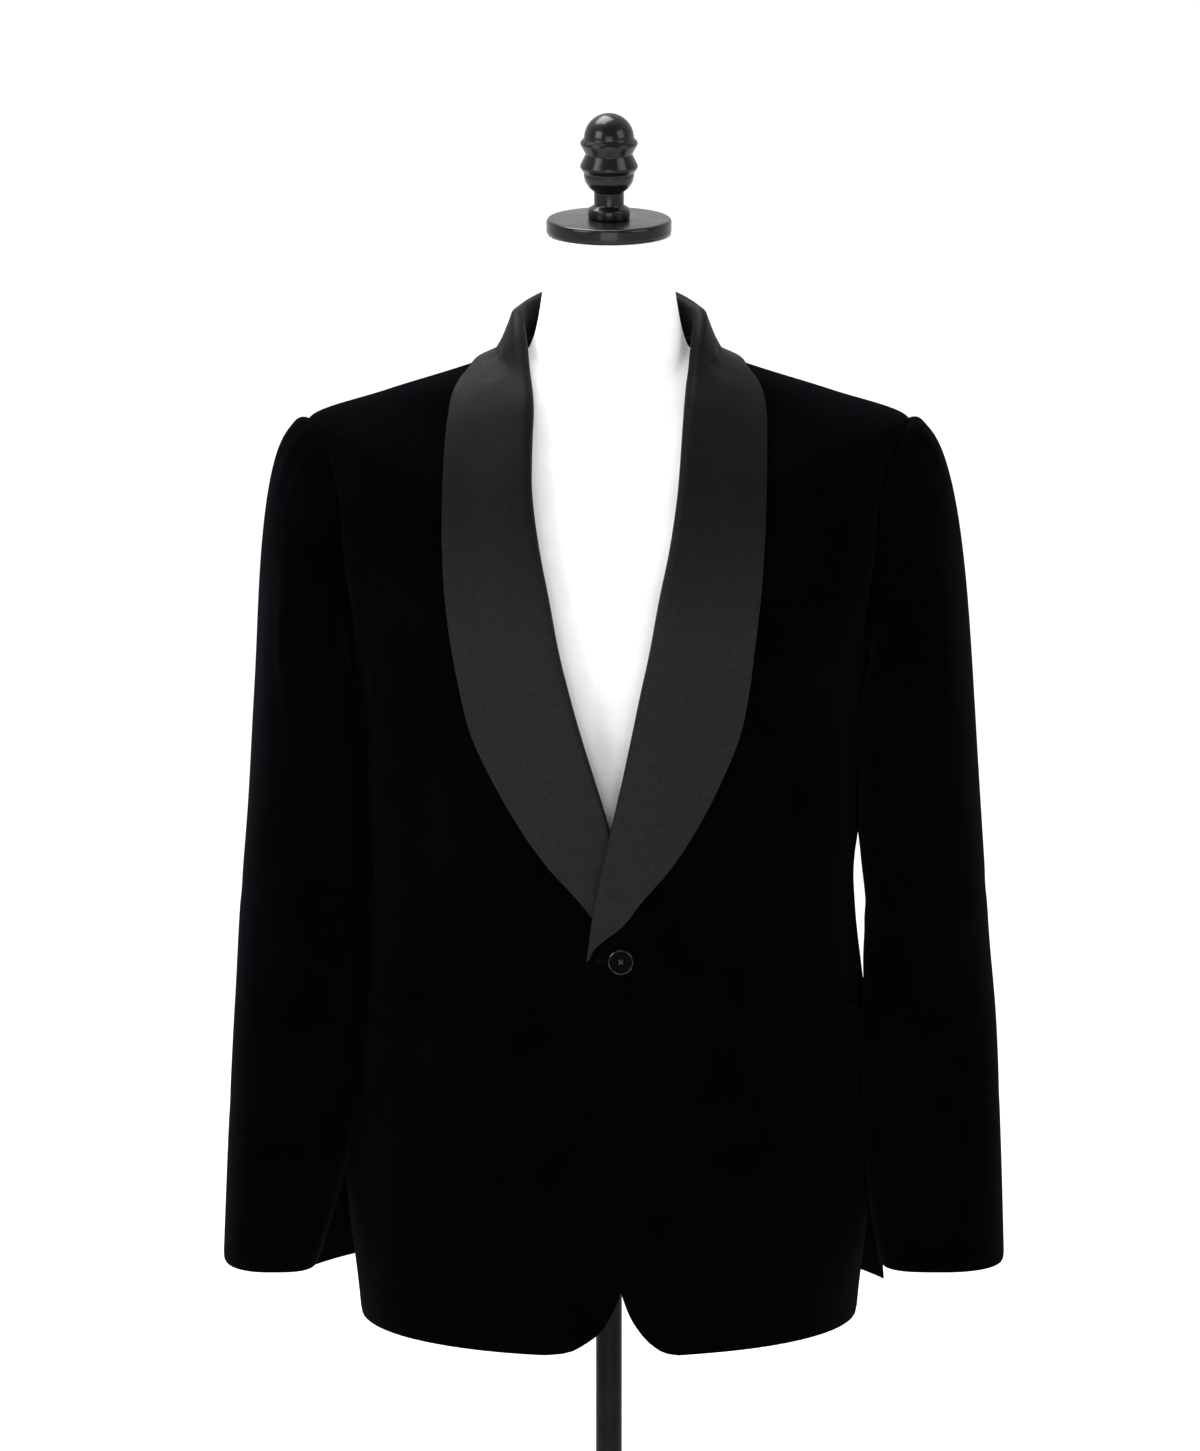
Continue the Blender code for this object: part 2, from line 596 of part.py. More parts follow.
def make_collar(side):
    """A half of the shawl collar: a leg inside, the fold, and the fall that lies on the front."""
    rows = collar_stations(side)
    fold_angle, fold_height, edge_angle, edge_height, bridge = rows.T[:, :, None]
    fold = figure(fold_angle, fold_height)
    width = np.linalg.norm(figure(edge_angle, edge_height) - fold, axis=-1)
    level = fold[..., 2]
    (roll,) = smooth_table(ROLL, level)
    neck = ease(1.34, 1.42, level)
    leg = (LEG_FRONT + (LEG_NECK - LEG_FRONT) * neck) * ease(0.0, 0.02, width - 0.002)
    leg = np.minimum(leg + 0.0008, 0.6 * width)
    (room,) = smooth_table(COLLAR_AIR, level)
    if side == "left":
        room = room + WELT_ROOM * np.exp(-(((level - WELT_LEVEL) / WELT_SPREAD) ** 2))
    (leg_air,) = smooth_table(LEG_AIR, level)
    inside = VELVET + leg_air
    radius = (room + roll + inside) / 2

    def place(share, lift):
        angle = fold_angle + (edge_angle - fold_angle) * share
        height = fold_height + (edge_height - fold_height) * share
        return panel_point(side, angle, height, lift * np.ones(angle.shape))

    leg_share = leg / width * np.array([[1.0, 0.5]])
    leg_under = place(leg_share, -inside)
    leg_over = place(leg_share, -inside - SATIN)

    still = np.zeros(fold_angle.shape)
    top = place(still, room + roll)
    bottom = place(still, -inside)
    axis = (top + bottom) / 2
    up = (top - bottom) / np.linalg.norm(top - bottom, axis=-1, keepdims=True)
    away = place(still, 0.0) - place(still + 0.02, 0.0)
    away = away - np.sum(away * up, axis=-1, keepdims=True) * up
    away = away / np.linalg.norm(away, axis=-1, keepdims=True)
    turn = np.radians(np.array([-90.0, -40.0, 0.0, 40.0, 90.0]))[None, :, None]
    spoke = np.cos(turn) * away + np.sin(turn) * up
    fold_under = axis + radius[..., None] * spoke
    fold_over = axis + (radius + SATIN)[..., None] * spoke

    share = np.array([[0.12, 0.25, 0.40, 0.56, 0.72, 0.87, 1.0]])
    lift = room + roll * (1.0 - ease(0.0, 0.75, share))
    follow_under = place(share, lift)
    follow_over = place(share, lift + SATIN)
    straight_under = top + (follow_under[:, -1:] - top) * share[..., None]
    straight_over = fold_over[:, -1:] + (follow_over[:, -1:] - fold_over[:, -1:]) * share[..., None]
    mix = bridge[..., None]
    fall_under = follow_under + (straight_under - follow_under) * mix
    fall_over = follow_over + (straight_over - follow_over) * mix

    over = np.concatenate([leg_over, fold_over, fall_over], axis=1)
    under = np.concatenate([leg_under, fold_under, fall_under], axis=1)
    over[-1, :, 0] = SEAM / 2
    under[-1, :, 0] = SEAM / 2
    wall(f"shawl_collar_{side}", over, under, "satin", side)


def armhole_point(turn):
    """Where the sleeve is sewn on: 0 at the shoulder, 90 in front, 180 under the arm."""
    round_arm = np.radians(turn)
    power = 2.0 / ARMHOLE_ROUND
    angle = SHOULDER_SEAM - ARMHOLE_REACH * signed_power(np.sin(round_arm), power)
    rise = (ARMHOLE_TOP - ARMHOLE_MIDDLE) * signed_power(np.cos(round_arm), power)
    return figure(angle, ARMHOLE_MIDDLE + rise)


def body_side(depth, level):
    """How far out the side of the body reaches at a depth and a level."""
    _, _, width, chest, spine, square = smooth_table(FIGURE, level)
    share = np.clip(np.abs(depth) / np.where(depth < 0.0, chest, spine), 0.0, 0.98)
    return width * (1.0 - share**square) ** (1.0 / square)


def arm_point(side, turn, level):
    """A point of the sleeve below the armhole, a squared oval from the side's table."""
    rows = np.asarray(SLEEVES[side])[::-1]
    inner, outer, front, back = smooth_table(rows, level)
    round_arm = np.radians(turn)
    square = np.where(np.cos(round_arm) < 0.0, SLEEVE_SQUARE["inner"], SLEEVE_SQUARE["outer"])
    x = (inner + outer) / 2 + (outer - inner) / 2 * signed_power(np.cos(round_arm), square)
    y = (front + back) / 2 - (back - front) / 2 * signed_power(np.sin(round_arm), square)
    return np.stack([x, y, level * np.ones(x.shape)], axis=-1)


def sleeve_point(side, turn, down):
    """The sleeve: down runs 0 to 1 from the armhole to the upper arm, then 1 to 2 to the cuff."""
    turn, down = np.broadcast_arrays(np.asarray(turn, dtype=float), np.asarray(down, dtype=float))
    top, cuff = SLEEVES[side][0][0], SLEEVES[side][-1][0]
    level = top + (cuff - top) * np.clip(down - 1.0, 0.0, 1.0)
    arm = arm_point(side, turn, level)

    t = np.minimum(down, 1.0)[..., None]
    round_arm = np.radians(turn)
    spread = -LEAVE_SPREAD * np.sin(round_arm)
    fall = LEAVE_RISE - LEAVE_FALL * (1.0 - np.cos(round_arm))
    leave = np.stack([np.ones(turn.shape), spread, fall], axis=-1)
    leave = leave * (HEAD_PULL[0] + HEAD_PULL[1] * np.cos(round_arm))[..., None]
    upper_arm = arm_point(side, turn, np.full(turn.shape, top))
    arrive = (arm_point(side, turn, np.full(turn.shape, top - ARM_STEP)) - upper_arm) / ARM_STEP
    arrive = arrive * (ARM_PULL[0] + ARM_PULL[1] * np.cos(round_arm))[..., None]
    start = armhole_point(turn)
    head = ((2 * t**3 - 3 * t**2 + 1) * start + (t**3 - 2 * t**2 + t) * leave
            + (3 * t**2 - 2 * t**3) * upper_arm + (t**3 - t**2) * arrive)
    sleeve = np.where(down[..., None] < 1.0, head, arm)
    over = sleeve[..., 0] - body_side(sleeve[..., 1], sleeve[..., 2]) - SLEEVE_CLEAR
    pressed = (np.sqrt(over**2 + SLEEVE_PRESS**2) - over) / 2
    sleeve[..., 0] += pressed * ease(0.0, 0.5, down)
    return sleeve


def sleeve_surface(side, turn, down):
    """The sleeve with its folds pressed in."""
    base = sleeve_point(side, turn, down)
    middle = base.copy()
    middle[..., 0] = (SLEEVES[side][2][1] + SLEEVES[side][2][2]) / 2
    middle[..., 1] = 0.0
    toward = middle - base
    toward = toward / np.linalg.norm(toward, axis=-1, keepdims=True)
    depth = np.zeros(base.shape[:-1])
    for level, at_turn, deep, high, wide in SLEEVE_FOLDS[side]:
        apart = (np.asarray(turn) - at_turn + 180.0) % 360.0 - 180.0
        tilt = level + 0.25 * high * apart / wide
        depth = depth + deep * np.exp(-(((base[..., 2] - tilt) / high) ** 2) - (apart / wide) ** 2)
    return base + depth[..., None] * toward


def beside_seam(side, turn, down, distance):
    """The turn that lies `distance` further round the sleeve, at each of its rows."""
    step = 0.5
    here, there = (sleeve_surface(side, turn + move, np.maximum(down, 0.02)) for move in (0.0, step))
    return turn + distance * step / np.linalg.norm(there - here, axis=-1)


def make_sleeve(side, name, first, last, columns):
    """A sleeve piece between two turns round the arm, from the armhole to the cuff."""
    head = np.array([0.0, 0.08, 0.18, 0.32, 0.50, 0.68, 0.85])
    rows = np.concatenate([head, np.linspace(1.0, 2.0, 9)])[::-1, None]
    start = beside_seam(side, first, rows, SLEEVE_SEAM / 2)
    end = beside_seam(side, last, rows, -SLEEVE_SEAM / 2)
    turn = end + (start - end) * np.linspace(0.0, 1.0, columns)[None, :]
    rows = np.broadcast_to(rows, turn.shape)
    start = SLEEVE_GAP / (HEAD_PULL[0] + HEAD_PULL[1] * np.cos(np.radians(turn)))
    down = rows + start * np.clip(1.0 - rows, 0.0, 1.0)

    def surface(at_turn, at_down):
        return sleeve_surface(side, at_turn, at_down)

    over = surface(turn, down)
    normal = outward(surface, turn, down, (0.2, 0.002))
    wall(name, over, over - VELVET * normal, "velvet", side)


def make_sleeves(side):
    """The outer and inner pieces of a sleeve."""
    make_sleeve(side, f"top_sleeve_{side}", SLEEVE_BACK_SEAM - 360.0, SLEEVE_FRONT_SEAM, 13)
    make_sleeve(side, f"under_sleeve_{side}", SLEEVE_FRONT_SEAM, SLEEVE_BACK_SEAM, 7)


def patch(name, across, levels, thick, material, side):
    """A strip on a front: across holds its columns, levels its lower and upper edge at each."""
    low, high = levels
    angle, height = on_figure(np.stack([across] * 3), np.stack([low, (low + high) / 2, high]))
    still = np.zeros(angle.shape)
    over = panel_point(side, angle, height, still + PATCH_AIR + thick)
    under = panel_point(side, angle, height, still + PATCH_AIR)
    wall(name, over, under, material, side)


def make_chest_welt():
    """The welt of the chest pocket, its front end under the lapel."""
    inner, outer = WELT_CORNERS["inner"], WELT_CORNERS["outer"]
    share = np.linspace(0.0, 1.0, 8)
    across, low, high = (inner[k] + (outer[k] - inner[k]) * share for k in range(3))
    patch("chest_welt", across, (low, high), VELVET, "velvet", "left")


def make_hip_pocket(side):
    """The two jets of a hip pocket, one above the other."""
    share = np.linspace(0.0, 1.0, 9)
    across = JET_INNER[0] + (JET_OUTER[0] - JET_INNER[0]) * np.sin(share * np.pi / 2)
    middle = JET_INNER[1] + (JET_OUTER[1] - JET_INNER[1]) * share
    half = SEAM / 2
    patch(f"hip_jet_upper_{side}", across, (middle + half, middle + JET_HEIGHT), JET_THICK, "velvet", side)
    patch(f"hip_jet_lower_{side}", across, (middle - JET_HEIGHT, middle - half), JET_THICK, "velvet", side)


def make_button():
    """The four-hole button with its raised rim, square on the left front."""
    thing = turned("button", (
        (0.0, BUTTON_THICK - BUTTON_DISH),
        (BUTTON_RADIUS - BUTTON_RIM, BUTTON_THICK - BUTTON_DISH),
        (BUTTON_RADIUS - BUTTON_RIM * 0.7, BUTTON_THICK),
        (BUTTON_RADIUS - BUTTON_RIM * 0.2, BUTTON_THICK),
        (BUTTON_RADIUS, BUTTON_THICK * 0.6),
        (BUTTON_RADIUS * 0.94, 0.0),
        (0.0, 0.0)), "button")
    angle, height = on_figure(*BUTTON_AT)
    seat = panel_point("left", angle, height, AIR + np.zeros(()))
    normal = outward(figure, angle, height)
    thing.rotation_euler = (np.arctan2(-normal[1], normal[2]), 0.0, np.arcsin(normal[0]))
    thing.location = seat
    for number in range(4):
        across = BUTTON_HOLE_OUT * np.sqrt(2.0) * np.cos(np.pi * (0.25 + number / 2))
        along = BUTTON_HOLE_OUT * np.sqrt(2.0) * np.sin(np.pi * (0.25 + number / 2))
        bpy.ops.mesh.primitive_cylinder_add(vertices=10, radius=BUTTON_HOLE_RADIUS, depth=BUTTON_THICK * 3,
                                            location=(across, along, 0.0))
        cutter = bpy.context.active_object
        cutter.name = f"button_hole_{number + 1}"
        for collection in list(cutter.users_collection):
            collection.objects.unlink(cutter)
        CUTTERS.objects.link(cutter)
        cutter.parent = thing
        cutter.hide_render = True
        cutter.display_type = "WIRE"
        cut = thing.modifiers.new(cutter.name, "BOOLEAN")
        cut.operation = "DIFFERENCE"
        cut.object = cutter


def make_form():
    """The padded torso of the dress form with its neck, one smooth solid with no limbs."""
    table = np.asarray(FORM)
    steps = np.linspace(0.0, len(table) - 1.0, 25)
    by_step = np.column_stack([np.arange(len(table)), table[:, 0]])
    (heights,) = smooth_table(by_step, steps)
    angle = np.arange(0.0, 360.0, 10.0)[None, :]
    grid = ring_point(FORM, *np.broadcast_arrays(angle, heights[:, None]))
    tube("form_torso", grid, "jersey")


def make_neck_cap():
    """The flat cap on the neck, its rim rounded."""
    turned("neck_cap", (
        (0.0, CAP_TOP),
        (CAP_RADIUS - CAP_ROUND, CAP_TOP),
        (CAP_RADIUS - CAP_ROUND * 0.3, CAP_TOP - CAP_ROUND * 0.3),
        (CAP_RADIUS, CAP_TOP - CAP_ROUND),
        (CAP_RADIUS, CAP_BOTTOM + CAP_ROUND),
        (CAP_RADIUS - CAP_ROUND * 0.3, CAP_BOTTOM + CAP_ROUND * 0.3),
        (CAP_RADIUS - CAP_ROUND, CAP_BOTTOM),
        (0.0, CAP_BOTTOM)), "cap")


def make_finial():
    """The turned knob on the cap: a dome, two rings, a bowl, a stem and a foot."""
    dome_radius, dome_height = 0.0195, 1.5850
    turns = np.radians((90.0, 68.0, 45.0, 22.0, 0.0))
    dome = [(dome_radius * np.cos(turn), dome_height + dome_radius * np.sin(turn)) for turn in turns]
    dome[0] = (0.0, dome[0][1])
    turned("finial", (*dome,
        (0.0224, 1.5832),
        (0.0224, 1.5788),
        (0.0182, 1.5723),
        (0.0225, 1.5652),
        (0.0225, 1.5600),
        (0.0197, 1.5575),
        (0.0188, 1.5530),
        (0.0116, 1.5420),
        (0.0116, 1.5320),
        (0.0163, 1.5292),
        (0.0163, FINIAL_BOTTOM),
        (0.0, FINIAL_BOTTOM)), "cap")


def make_stand():
    """The flange under the torso, the pole and the round base."""
    torso_bottom = FORM[0][0]
    turned("pole_collar", (
        (0.0, torso_bottom - SEAM),
        (FLANGE_RADIUS, torso_bottom - SEAM),
        (FLANGE_RADIUS, torso_bottom - FLANGE_THICK),
        (BOSS_RADIUS, torso_bottom - FLANGE_THICK - 0.004),
        (BOSS_RADIUS, POLE_TOP + SEAM),
        (0.0, POLE_TOP + SEAM)), "steel")
    turned("pole", (
        (0.0, POLE_TOP),
        (POLE_RADIUS, POLE_TOP),
        (POLE_RADIUS, POLE_BOTTOM),
        (0.0, POLE_BOTTOM)), "steel")
    turned("base", (
        (0.0, BASE_BOSS_TOP),
        (BOSS_RADIUS, BASE_BOSS_TOP),
        (BOSS_RADIUS + 0.002, 0.018),
        (BASE_RADIUS * 0.55, 0.0125),
        (BASE_RADIUS - 0.003, BASE_EDGE),
        (BASE_RADIUS, BASE_EDGE - 0.003),
        (BASE_RADIUS, 0.0),
        (0.0, 0.0)), "steel")


for one_side in ("left", "right"):
    make_front(one_side)
    make_side(one_side)
    make_back(one_side)
    make_collar(one_side)
    make_sleeves(one_side)
    make_hip_pocket(one_side)
make_chest_welt()
make_button()
make_form()
make_neck_cap()
make_finial()
make_stand()
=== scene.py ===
import bpy
import numpy as np
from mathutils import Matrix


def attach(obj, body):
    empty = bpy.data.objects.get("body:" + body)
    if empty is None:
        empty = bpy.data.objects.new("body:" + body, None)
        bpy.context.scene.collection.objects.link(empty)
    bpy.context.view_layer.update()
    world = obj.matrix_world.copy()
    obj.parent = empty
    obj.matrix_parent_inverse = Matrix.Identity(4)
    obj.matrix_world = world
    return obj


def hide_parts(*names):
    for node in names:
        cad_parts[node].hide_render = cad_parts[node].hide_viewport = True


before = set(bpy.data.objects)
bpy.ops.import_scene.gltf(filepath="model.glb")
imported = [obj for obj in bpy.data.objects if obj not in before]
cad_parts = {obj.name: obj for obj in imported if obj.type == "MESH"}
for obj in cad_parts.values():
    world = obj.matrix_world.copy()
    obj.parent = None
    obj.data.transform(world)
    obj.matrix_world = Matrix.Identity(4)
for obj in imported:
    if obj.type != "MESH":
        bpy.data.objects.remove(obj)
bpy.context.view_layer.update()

# Looks of a velvet tuxedo blazer with a shawl collar, on its dress form.
# Each cut piece is a fine closed wall of cloth laid on the same figure as its solid, with the darts, seams,
# creases and puckers pressed into it. The figure is a stack of rings: a place on it is an angle round the
# body, 0 at the centre front, 90 at the side and 180 at the centre back, and a height, which is the ring's
# own height at the side of the body. Lengths are in metres, +Z up, the front faces -Y, and the wearer's left
# is +X. Each piece is worked out for the left and mirrored for the right.

BODY = "root"

# Cloth; sewn edges meet, and turned parts stand a little apart
VELVET = 0.0016
SATIN = 0.0014
STAND_GAP = 0.0003
EDGE_ROUND = 0.0007

# How finely the pieces are divided: rows up to the armhole, beside it and over the shoulder, and columns
# to either side of the dart; for the sleeves, rows of the head and of the arm
FRONT_ROWS = (170, 70, 24)
FRONT_COLUMNS = (52, 43)
BACK_ROWS = (160, 62, 24)
BACK_COLUMNS = 68
SIDE_ROWS = 200
SIDE_COLUMNS = 44
SLEEVE_ROWS = (66, 130)
SLEEVE_COLUMNS = {"top": 126, "under": 66}
COLLAR_ROWS = 300
FORM_ROWS = 130
FORM_COLUMNS = 120
WELT_GRID = (60, 26)
JET_GRID = (70, 14)
BUTTON_STEPS = 120

# The figure: ring height at the side, centre front and centre back, half width, front depth, back depth,
# and squareness, where 2 is an ellipse
FIGURE = (
    (0.600, 0.592, 0.620, 0.191, 0.135, 0.139, 2.35),
    (0.652, 0.644, 0.672, 0.194, 0.135, 0.140, 2.35),
    (0.780, 0.776, 0.790, 0.206, 0.134, 0.140, 2.35),
    (0.900, 0.898, 0.904, 0.200, 0.129, 0.128, 2.35),
    (0.987, 0.986, 0.988, 0.192, 0.125, 0.113, 2.35),
    (1.090, 1.090, 1.090, 0.196, 0.131, 0.118, 2.35),
    (1.190, 1.188, 1.192, 0.2035, 0.136, 0.126, 2.30),
    (1.272, 1.255, 1.266, 0.226, 0.132, 0.124, 2.05),
    (1.3615, 1.306, 1.328, 0.235, 0.115, 0.108, 1.68),
    (1.384, 1.337, 1.362, 0.176, 0.101, 0.091, 1.68),
    (1.404, 1.366, 1.402, 0.110, 0.085, 0.073, 1.85),
    (1.4145, 1.383, 1.424, 0.079, 0.074, 0.062, 2.00),
    (1.441, 1.409, 1.457, 0.0700, 0.066, 0.057, 2.10),
    (1.470, 1.440, 1.488, 0.0680, 0.064, 0.055, 2.10),
)
HEM = 0.652
HEM_EDGE = 0.004
HEM_SHARES = (0.0, 0.02, 0.08, 0.2, 0.45)
NECKLINE = 1.4145

# Seams, as angles round the figure, and the side vents
SIDE_SEAM = 80.0
BACK_SEAM = 109.0
SHOULDER_SEAM = 90.0
VENT_TOP = 0.865
VENT_UNDERLAP = 9.0
UNDERLAP_DROP = 0.0024
TAIL_FLARE = {"left": 0.030, "right": 0.045}
TAIL_RISE = {"left": 0.011, "right": 0.023}

# The armhole, an oval in angle and height
ARMHOLE_REACH = 23.5
ARMHOLE_MIDDLE = 1.272
ARMHOLE_TOP = 1.3615
ARMHOLE_HIGH = ARMHOLE_TOP - ARMHOLE_MIDDLE
ARMHOLE_ROUND = 2.3
ARMHOLE_RADIUS = 0.088

# Front edges, and roll lines above: height, then how far the left and the right one lie from the centre
FRONT_EDGE = (
    (0.6440, 0.0580, 0.0560),
    (0.6465, 0.0443, 0.0332),
    (0.6535, 0.0330, 0.0189),
    (0.6640, 0.0236, 0.0060),
    (0.6770, 0.0158, -0.0020),
    (0.6970, 0.0088, -0.0100),
    (0.7320, 0.0010, -0.0150),
    (0.7680, -0.0060, -0.0168),
    (0.8150, -0.0104, -0.0173),
    (0.8780, -0.0150, -0.0173),
    (0.9580, -0.0173, -0.0173),
    (0.9940, -0.0115, -0.0115),
    (1.0550, 0.0005, 0.0005),
    (1.1090, 0.0136, 0.0136),
    (1.1600, 0.0256, 0.0256),
    (1.2050, 0.0360, 0.0360),
    (1.2640, 0.0470, 0.0470),
    (1.2940, 0.0535, 0.0535),
    (1.3580, 0.0624, 0.0624),
    (1.3850, 0.0652, 0.0652),
    (1.4020, 0.0670, 0.0670),
    (1.4160, 0.0682, 0.0682),
    (1.4240, 0.0688, 0.0688),
)
# How far a front's edge stops short of the collar's fold
EDGE_INSIDE = 0.005
# How far the left front stands over the right one: height, lift
LAP = ((0.60, 0.0022), (0.88, 0.0022), (0.945, 0.0064), (1.10, 0.0064), (1.20, 0.0), (1.50, 0.0))
LAP_FADE = (0.030, 0.085)

# How much further out each lapel's fold lies than its roll line above: height, left, right
ROLL_BACK = (
    (0.960, 0.0000, 0.0000),
    (0.990, 0.0012, 0.0000),
    (1.030, 0.0018, 0.0000),
    (1.062, 0.0018, 0.0003),
    (1.092, 0.0018, 0.0022),
    (1.125, 0.0018, 0.0050),
    (1.160, 0.0018, 0.0080),
    (1.250, 0.0018, 0.0088),
    (1.310, 0.0016, 0.0084),
    (1.345, 0.0008, 0.0056),
    (1.370, 0.0000, 0.0016),
    (1.385, 0.0000, 0.0000),
    (1.450, 0.0000, 0.0000),
)
# Shawl collar in front: height, roll line, left outer edge, right outer edge
LAPEL = (
    (0.9590, -0.0168, -0.0160, -0.0160),
    (0.9635, -0.0163, -0.0138, -0.0138),
    (0.9685, -0.0155, -0.0110, -0.0110),
    (0.9760, -0.0145, -0.0030, -0.0030),
    (0.9840, -0.0133, 0.0075, 0.0060),
    (1.0070, -0.0093, 0.0257, 0.0249),
    (1.0320, -0.0045, 0.0468, 0.0473),
    (1.0700, 0.0038, 0.0718, 0.0733),
    (1.1000, 0.0113, 0.0866, 0.0897),
    (1.1380, 0.0205, 0.1014, 0.1069),
    (1.1700, 0.0280, 0.1076, 0.1148),
    (1.2040, 0.0360, 0.1115, 0.1213),
    (1.2430, 0.0430, 0.1162, 0.1264),
    (1.2840, 0.0513, 0.1200, 0.1288),
    (1.3250, 0.0578, 0.1216, 0.1284),
)
# Shawl collar up to the shoulder: roll line and its height, left outer edge, right outer edge and their
# height, share bridged straight
GORGE = (
    (0.0625, 1.3600, 0.1222, 0.1268, 1.3560, 0.00),
    (0.0652, 1.3850, 0.1216, 0.1240, 1.3750, 0.04),
    (0.0670, 1.4020, 0.1190, 0.1206, 1.3880, 0.10),
    (0.0682, 1.4160, 0.1140, 0.1150, 1.3965, 0.20),
    (0.0690, 1.4280, 0.1085, 0.1092, 1.4015, 0.30),
)
# Shawl collar round the neck: fold angle and height, outer edge angle and height, share bridged straight
COLLAR = (
    (90.0, 1.4410, 90.0, 1.4060, 0.40),
    (112.0, 1.4410, 112.0, 1.4065, 0.40),
    (135.0, 1.4410, 135.0, 1.4070, 0.40),
    (158.0, 1.4410, 158.0, 1.4080, 0.40),
    (180.0, 1.4410, 180.0, 1.4080, 0.40),
)
# The fold's point: level where it is thinnest, level where it is full, and its share there
TIP = (0.955, 1.005, 0.12)
# The leg inside the fold: its width in front and at the neck, and where it changes from one to the other
LEG_FRONT = 0.008
LEG_NECK = 0.026
LEG_LEAST = 0.0008
LEG_RISE = (1.34, 1.42)
COLLAR_ROUND = 0.0006
ROLL = ((0.96, 0.0), (1.07, 0.0), (1.18, 0.0045), (1.36, 0.0040), (1.42, 0.0025), (1.47, 0.0025))
# Air between collar and fronts by height: under the fall, and outside the leg
COLLAR_AIR = (
    (0.960, 0.0009),
    (1.060, 0.0009),
    (1.120, 0.0019),
    (1.340, 0.0024),
    (1.380, 0.0032),
    (1.440, 0.0032),
)
LEG_AIR = (
    (0.960, 0.0007),
    (1.060, 0.0007),
    (1.120, 0.0012),
    (1.340, 0.0014),
    (1.380, 0.0032),
    (1.415, 0.0032),
    (1.440, 0.0014),
)
WELT_ROOM = 0.0019
WELT_LEVEL = 1.222
WELT_SPREAD = 0.045

# Sleeves from the upper arm down: height, inner and outer side, front, back
SLEEVES = {
    "left": (
        (1.150, 0.1900, 0.2845, -0.072, 0.082),
        (1.060, 0.1900, 0.2900, -0.066, 0.078),
        (0.970, 0.2000, 0.2960, -0.064, 0.068),
        (0.880, 0.1900, 0.3030, -0.070, 0.052),
        (0.790, 0.1960, 0.3065, -0.078, 0.036),
        (0.700, 0.2110, 0.3090, -0.086, 0.022),
    ),
    "right": (
        (1.150, 0.1850, 0.2768, -0.072, 0.082),
        (1.060, 0.1780, 0.2816, -0.066, 0.078),
        (0.970, 0.1740, 0.2885, -0.064, 0.068),
        (0.880, 0.1820, 0.2935, -0.070, 0.052),
        (0.790, 0.2000, 0.2978, -0.078, 0.036),
        (0.700, 0.2270, 0.3014, -0.086, 0.022),
    ),
}
SLEEVE_FRONT_SEAM = 122.0
SLEEVE_BACK_SEAM = 238.0
LEAVE_SPREAD = 0.40
LEAVE_RISE = 0.10
LEAVE_FALL = 0.30
HEAD_PULL = (0.070, 0.040)
ARM_PULL = (0.140, 0.110)
ARM_STEP = 0.01
# A sleeve's section is squarer on its inner side, where it is pressed to the body at this distance
SLEEVE_SQUARE = {"outer": 0.90, "inner": 0.60}
SLEEVE_CLEAR = 0.0032
SLEEVE_PRESS = 0.0030

# How far a sleeve's edge is tucked under the edge of the armhole
SLEEVE_TUCK = 0.0022

# Sleeve folds: height, side (angle round the arm), depth in, half length up and down, half width
SLEEVE_FOLDS = {
    "left": (
        (1.02, 95.0, 0.0040, 0.030, 34.0),
        (0.95, 60.0, 0.0045, 0.028, 40.0),
        (0.83, 75.0, 0.0035, 0.035, 40.0),
    ),
    "right": (
        (1.04, 80.0, 0.0040, 0.030, 34.0),
        (0.93, 62.0, 0.0045, 0.028, 38.0),
        (0.86, 90.0, 0.0035, 0.030, 38.0),
    ),
}
# The roped sleeve head: how high it stands, how far from the seam, how wide, and how far round the arm
ROPE = {"lift": 0.0022, "from_seam": 0.0075, "width": 0.0060, "round_arm": 62.0}
# Puckers under the sleeve head: side (angle round the arm), half width, height out
PUCKERS = {
    "left": ((-34.0, 4.0, 0.0011), (-8.0, 4.5, 0.0008), (14.0, 4.0, 0.0013), (33.0, 5.0, 0.0010),
             (52.0, 5.0, 0.0008)),
    "right": ((-30.0, 4.5, 0.0009), (6.0, 4.0, 0.0012), (21.0, 4.0, 0.0014), (37.0, 4.5, 0.0012),
              (58.0, 5.5, 0.0008)),
}
PUCKER_FROM_SEAM = 0.030
PUCKER_LENGTH = 0.024

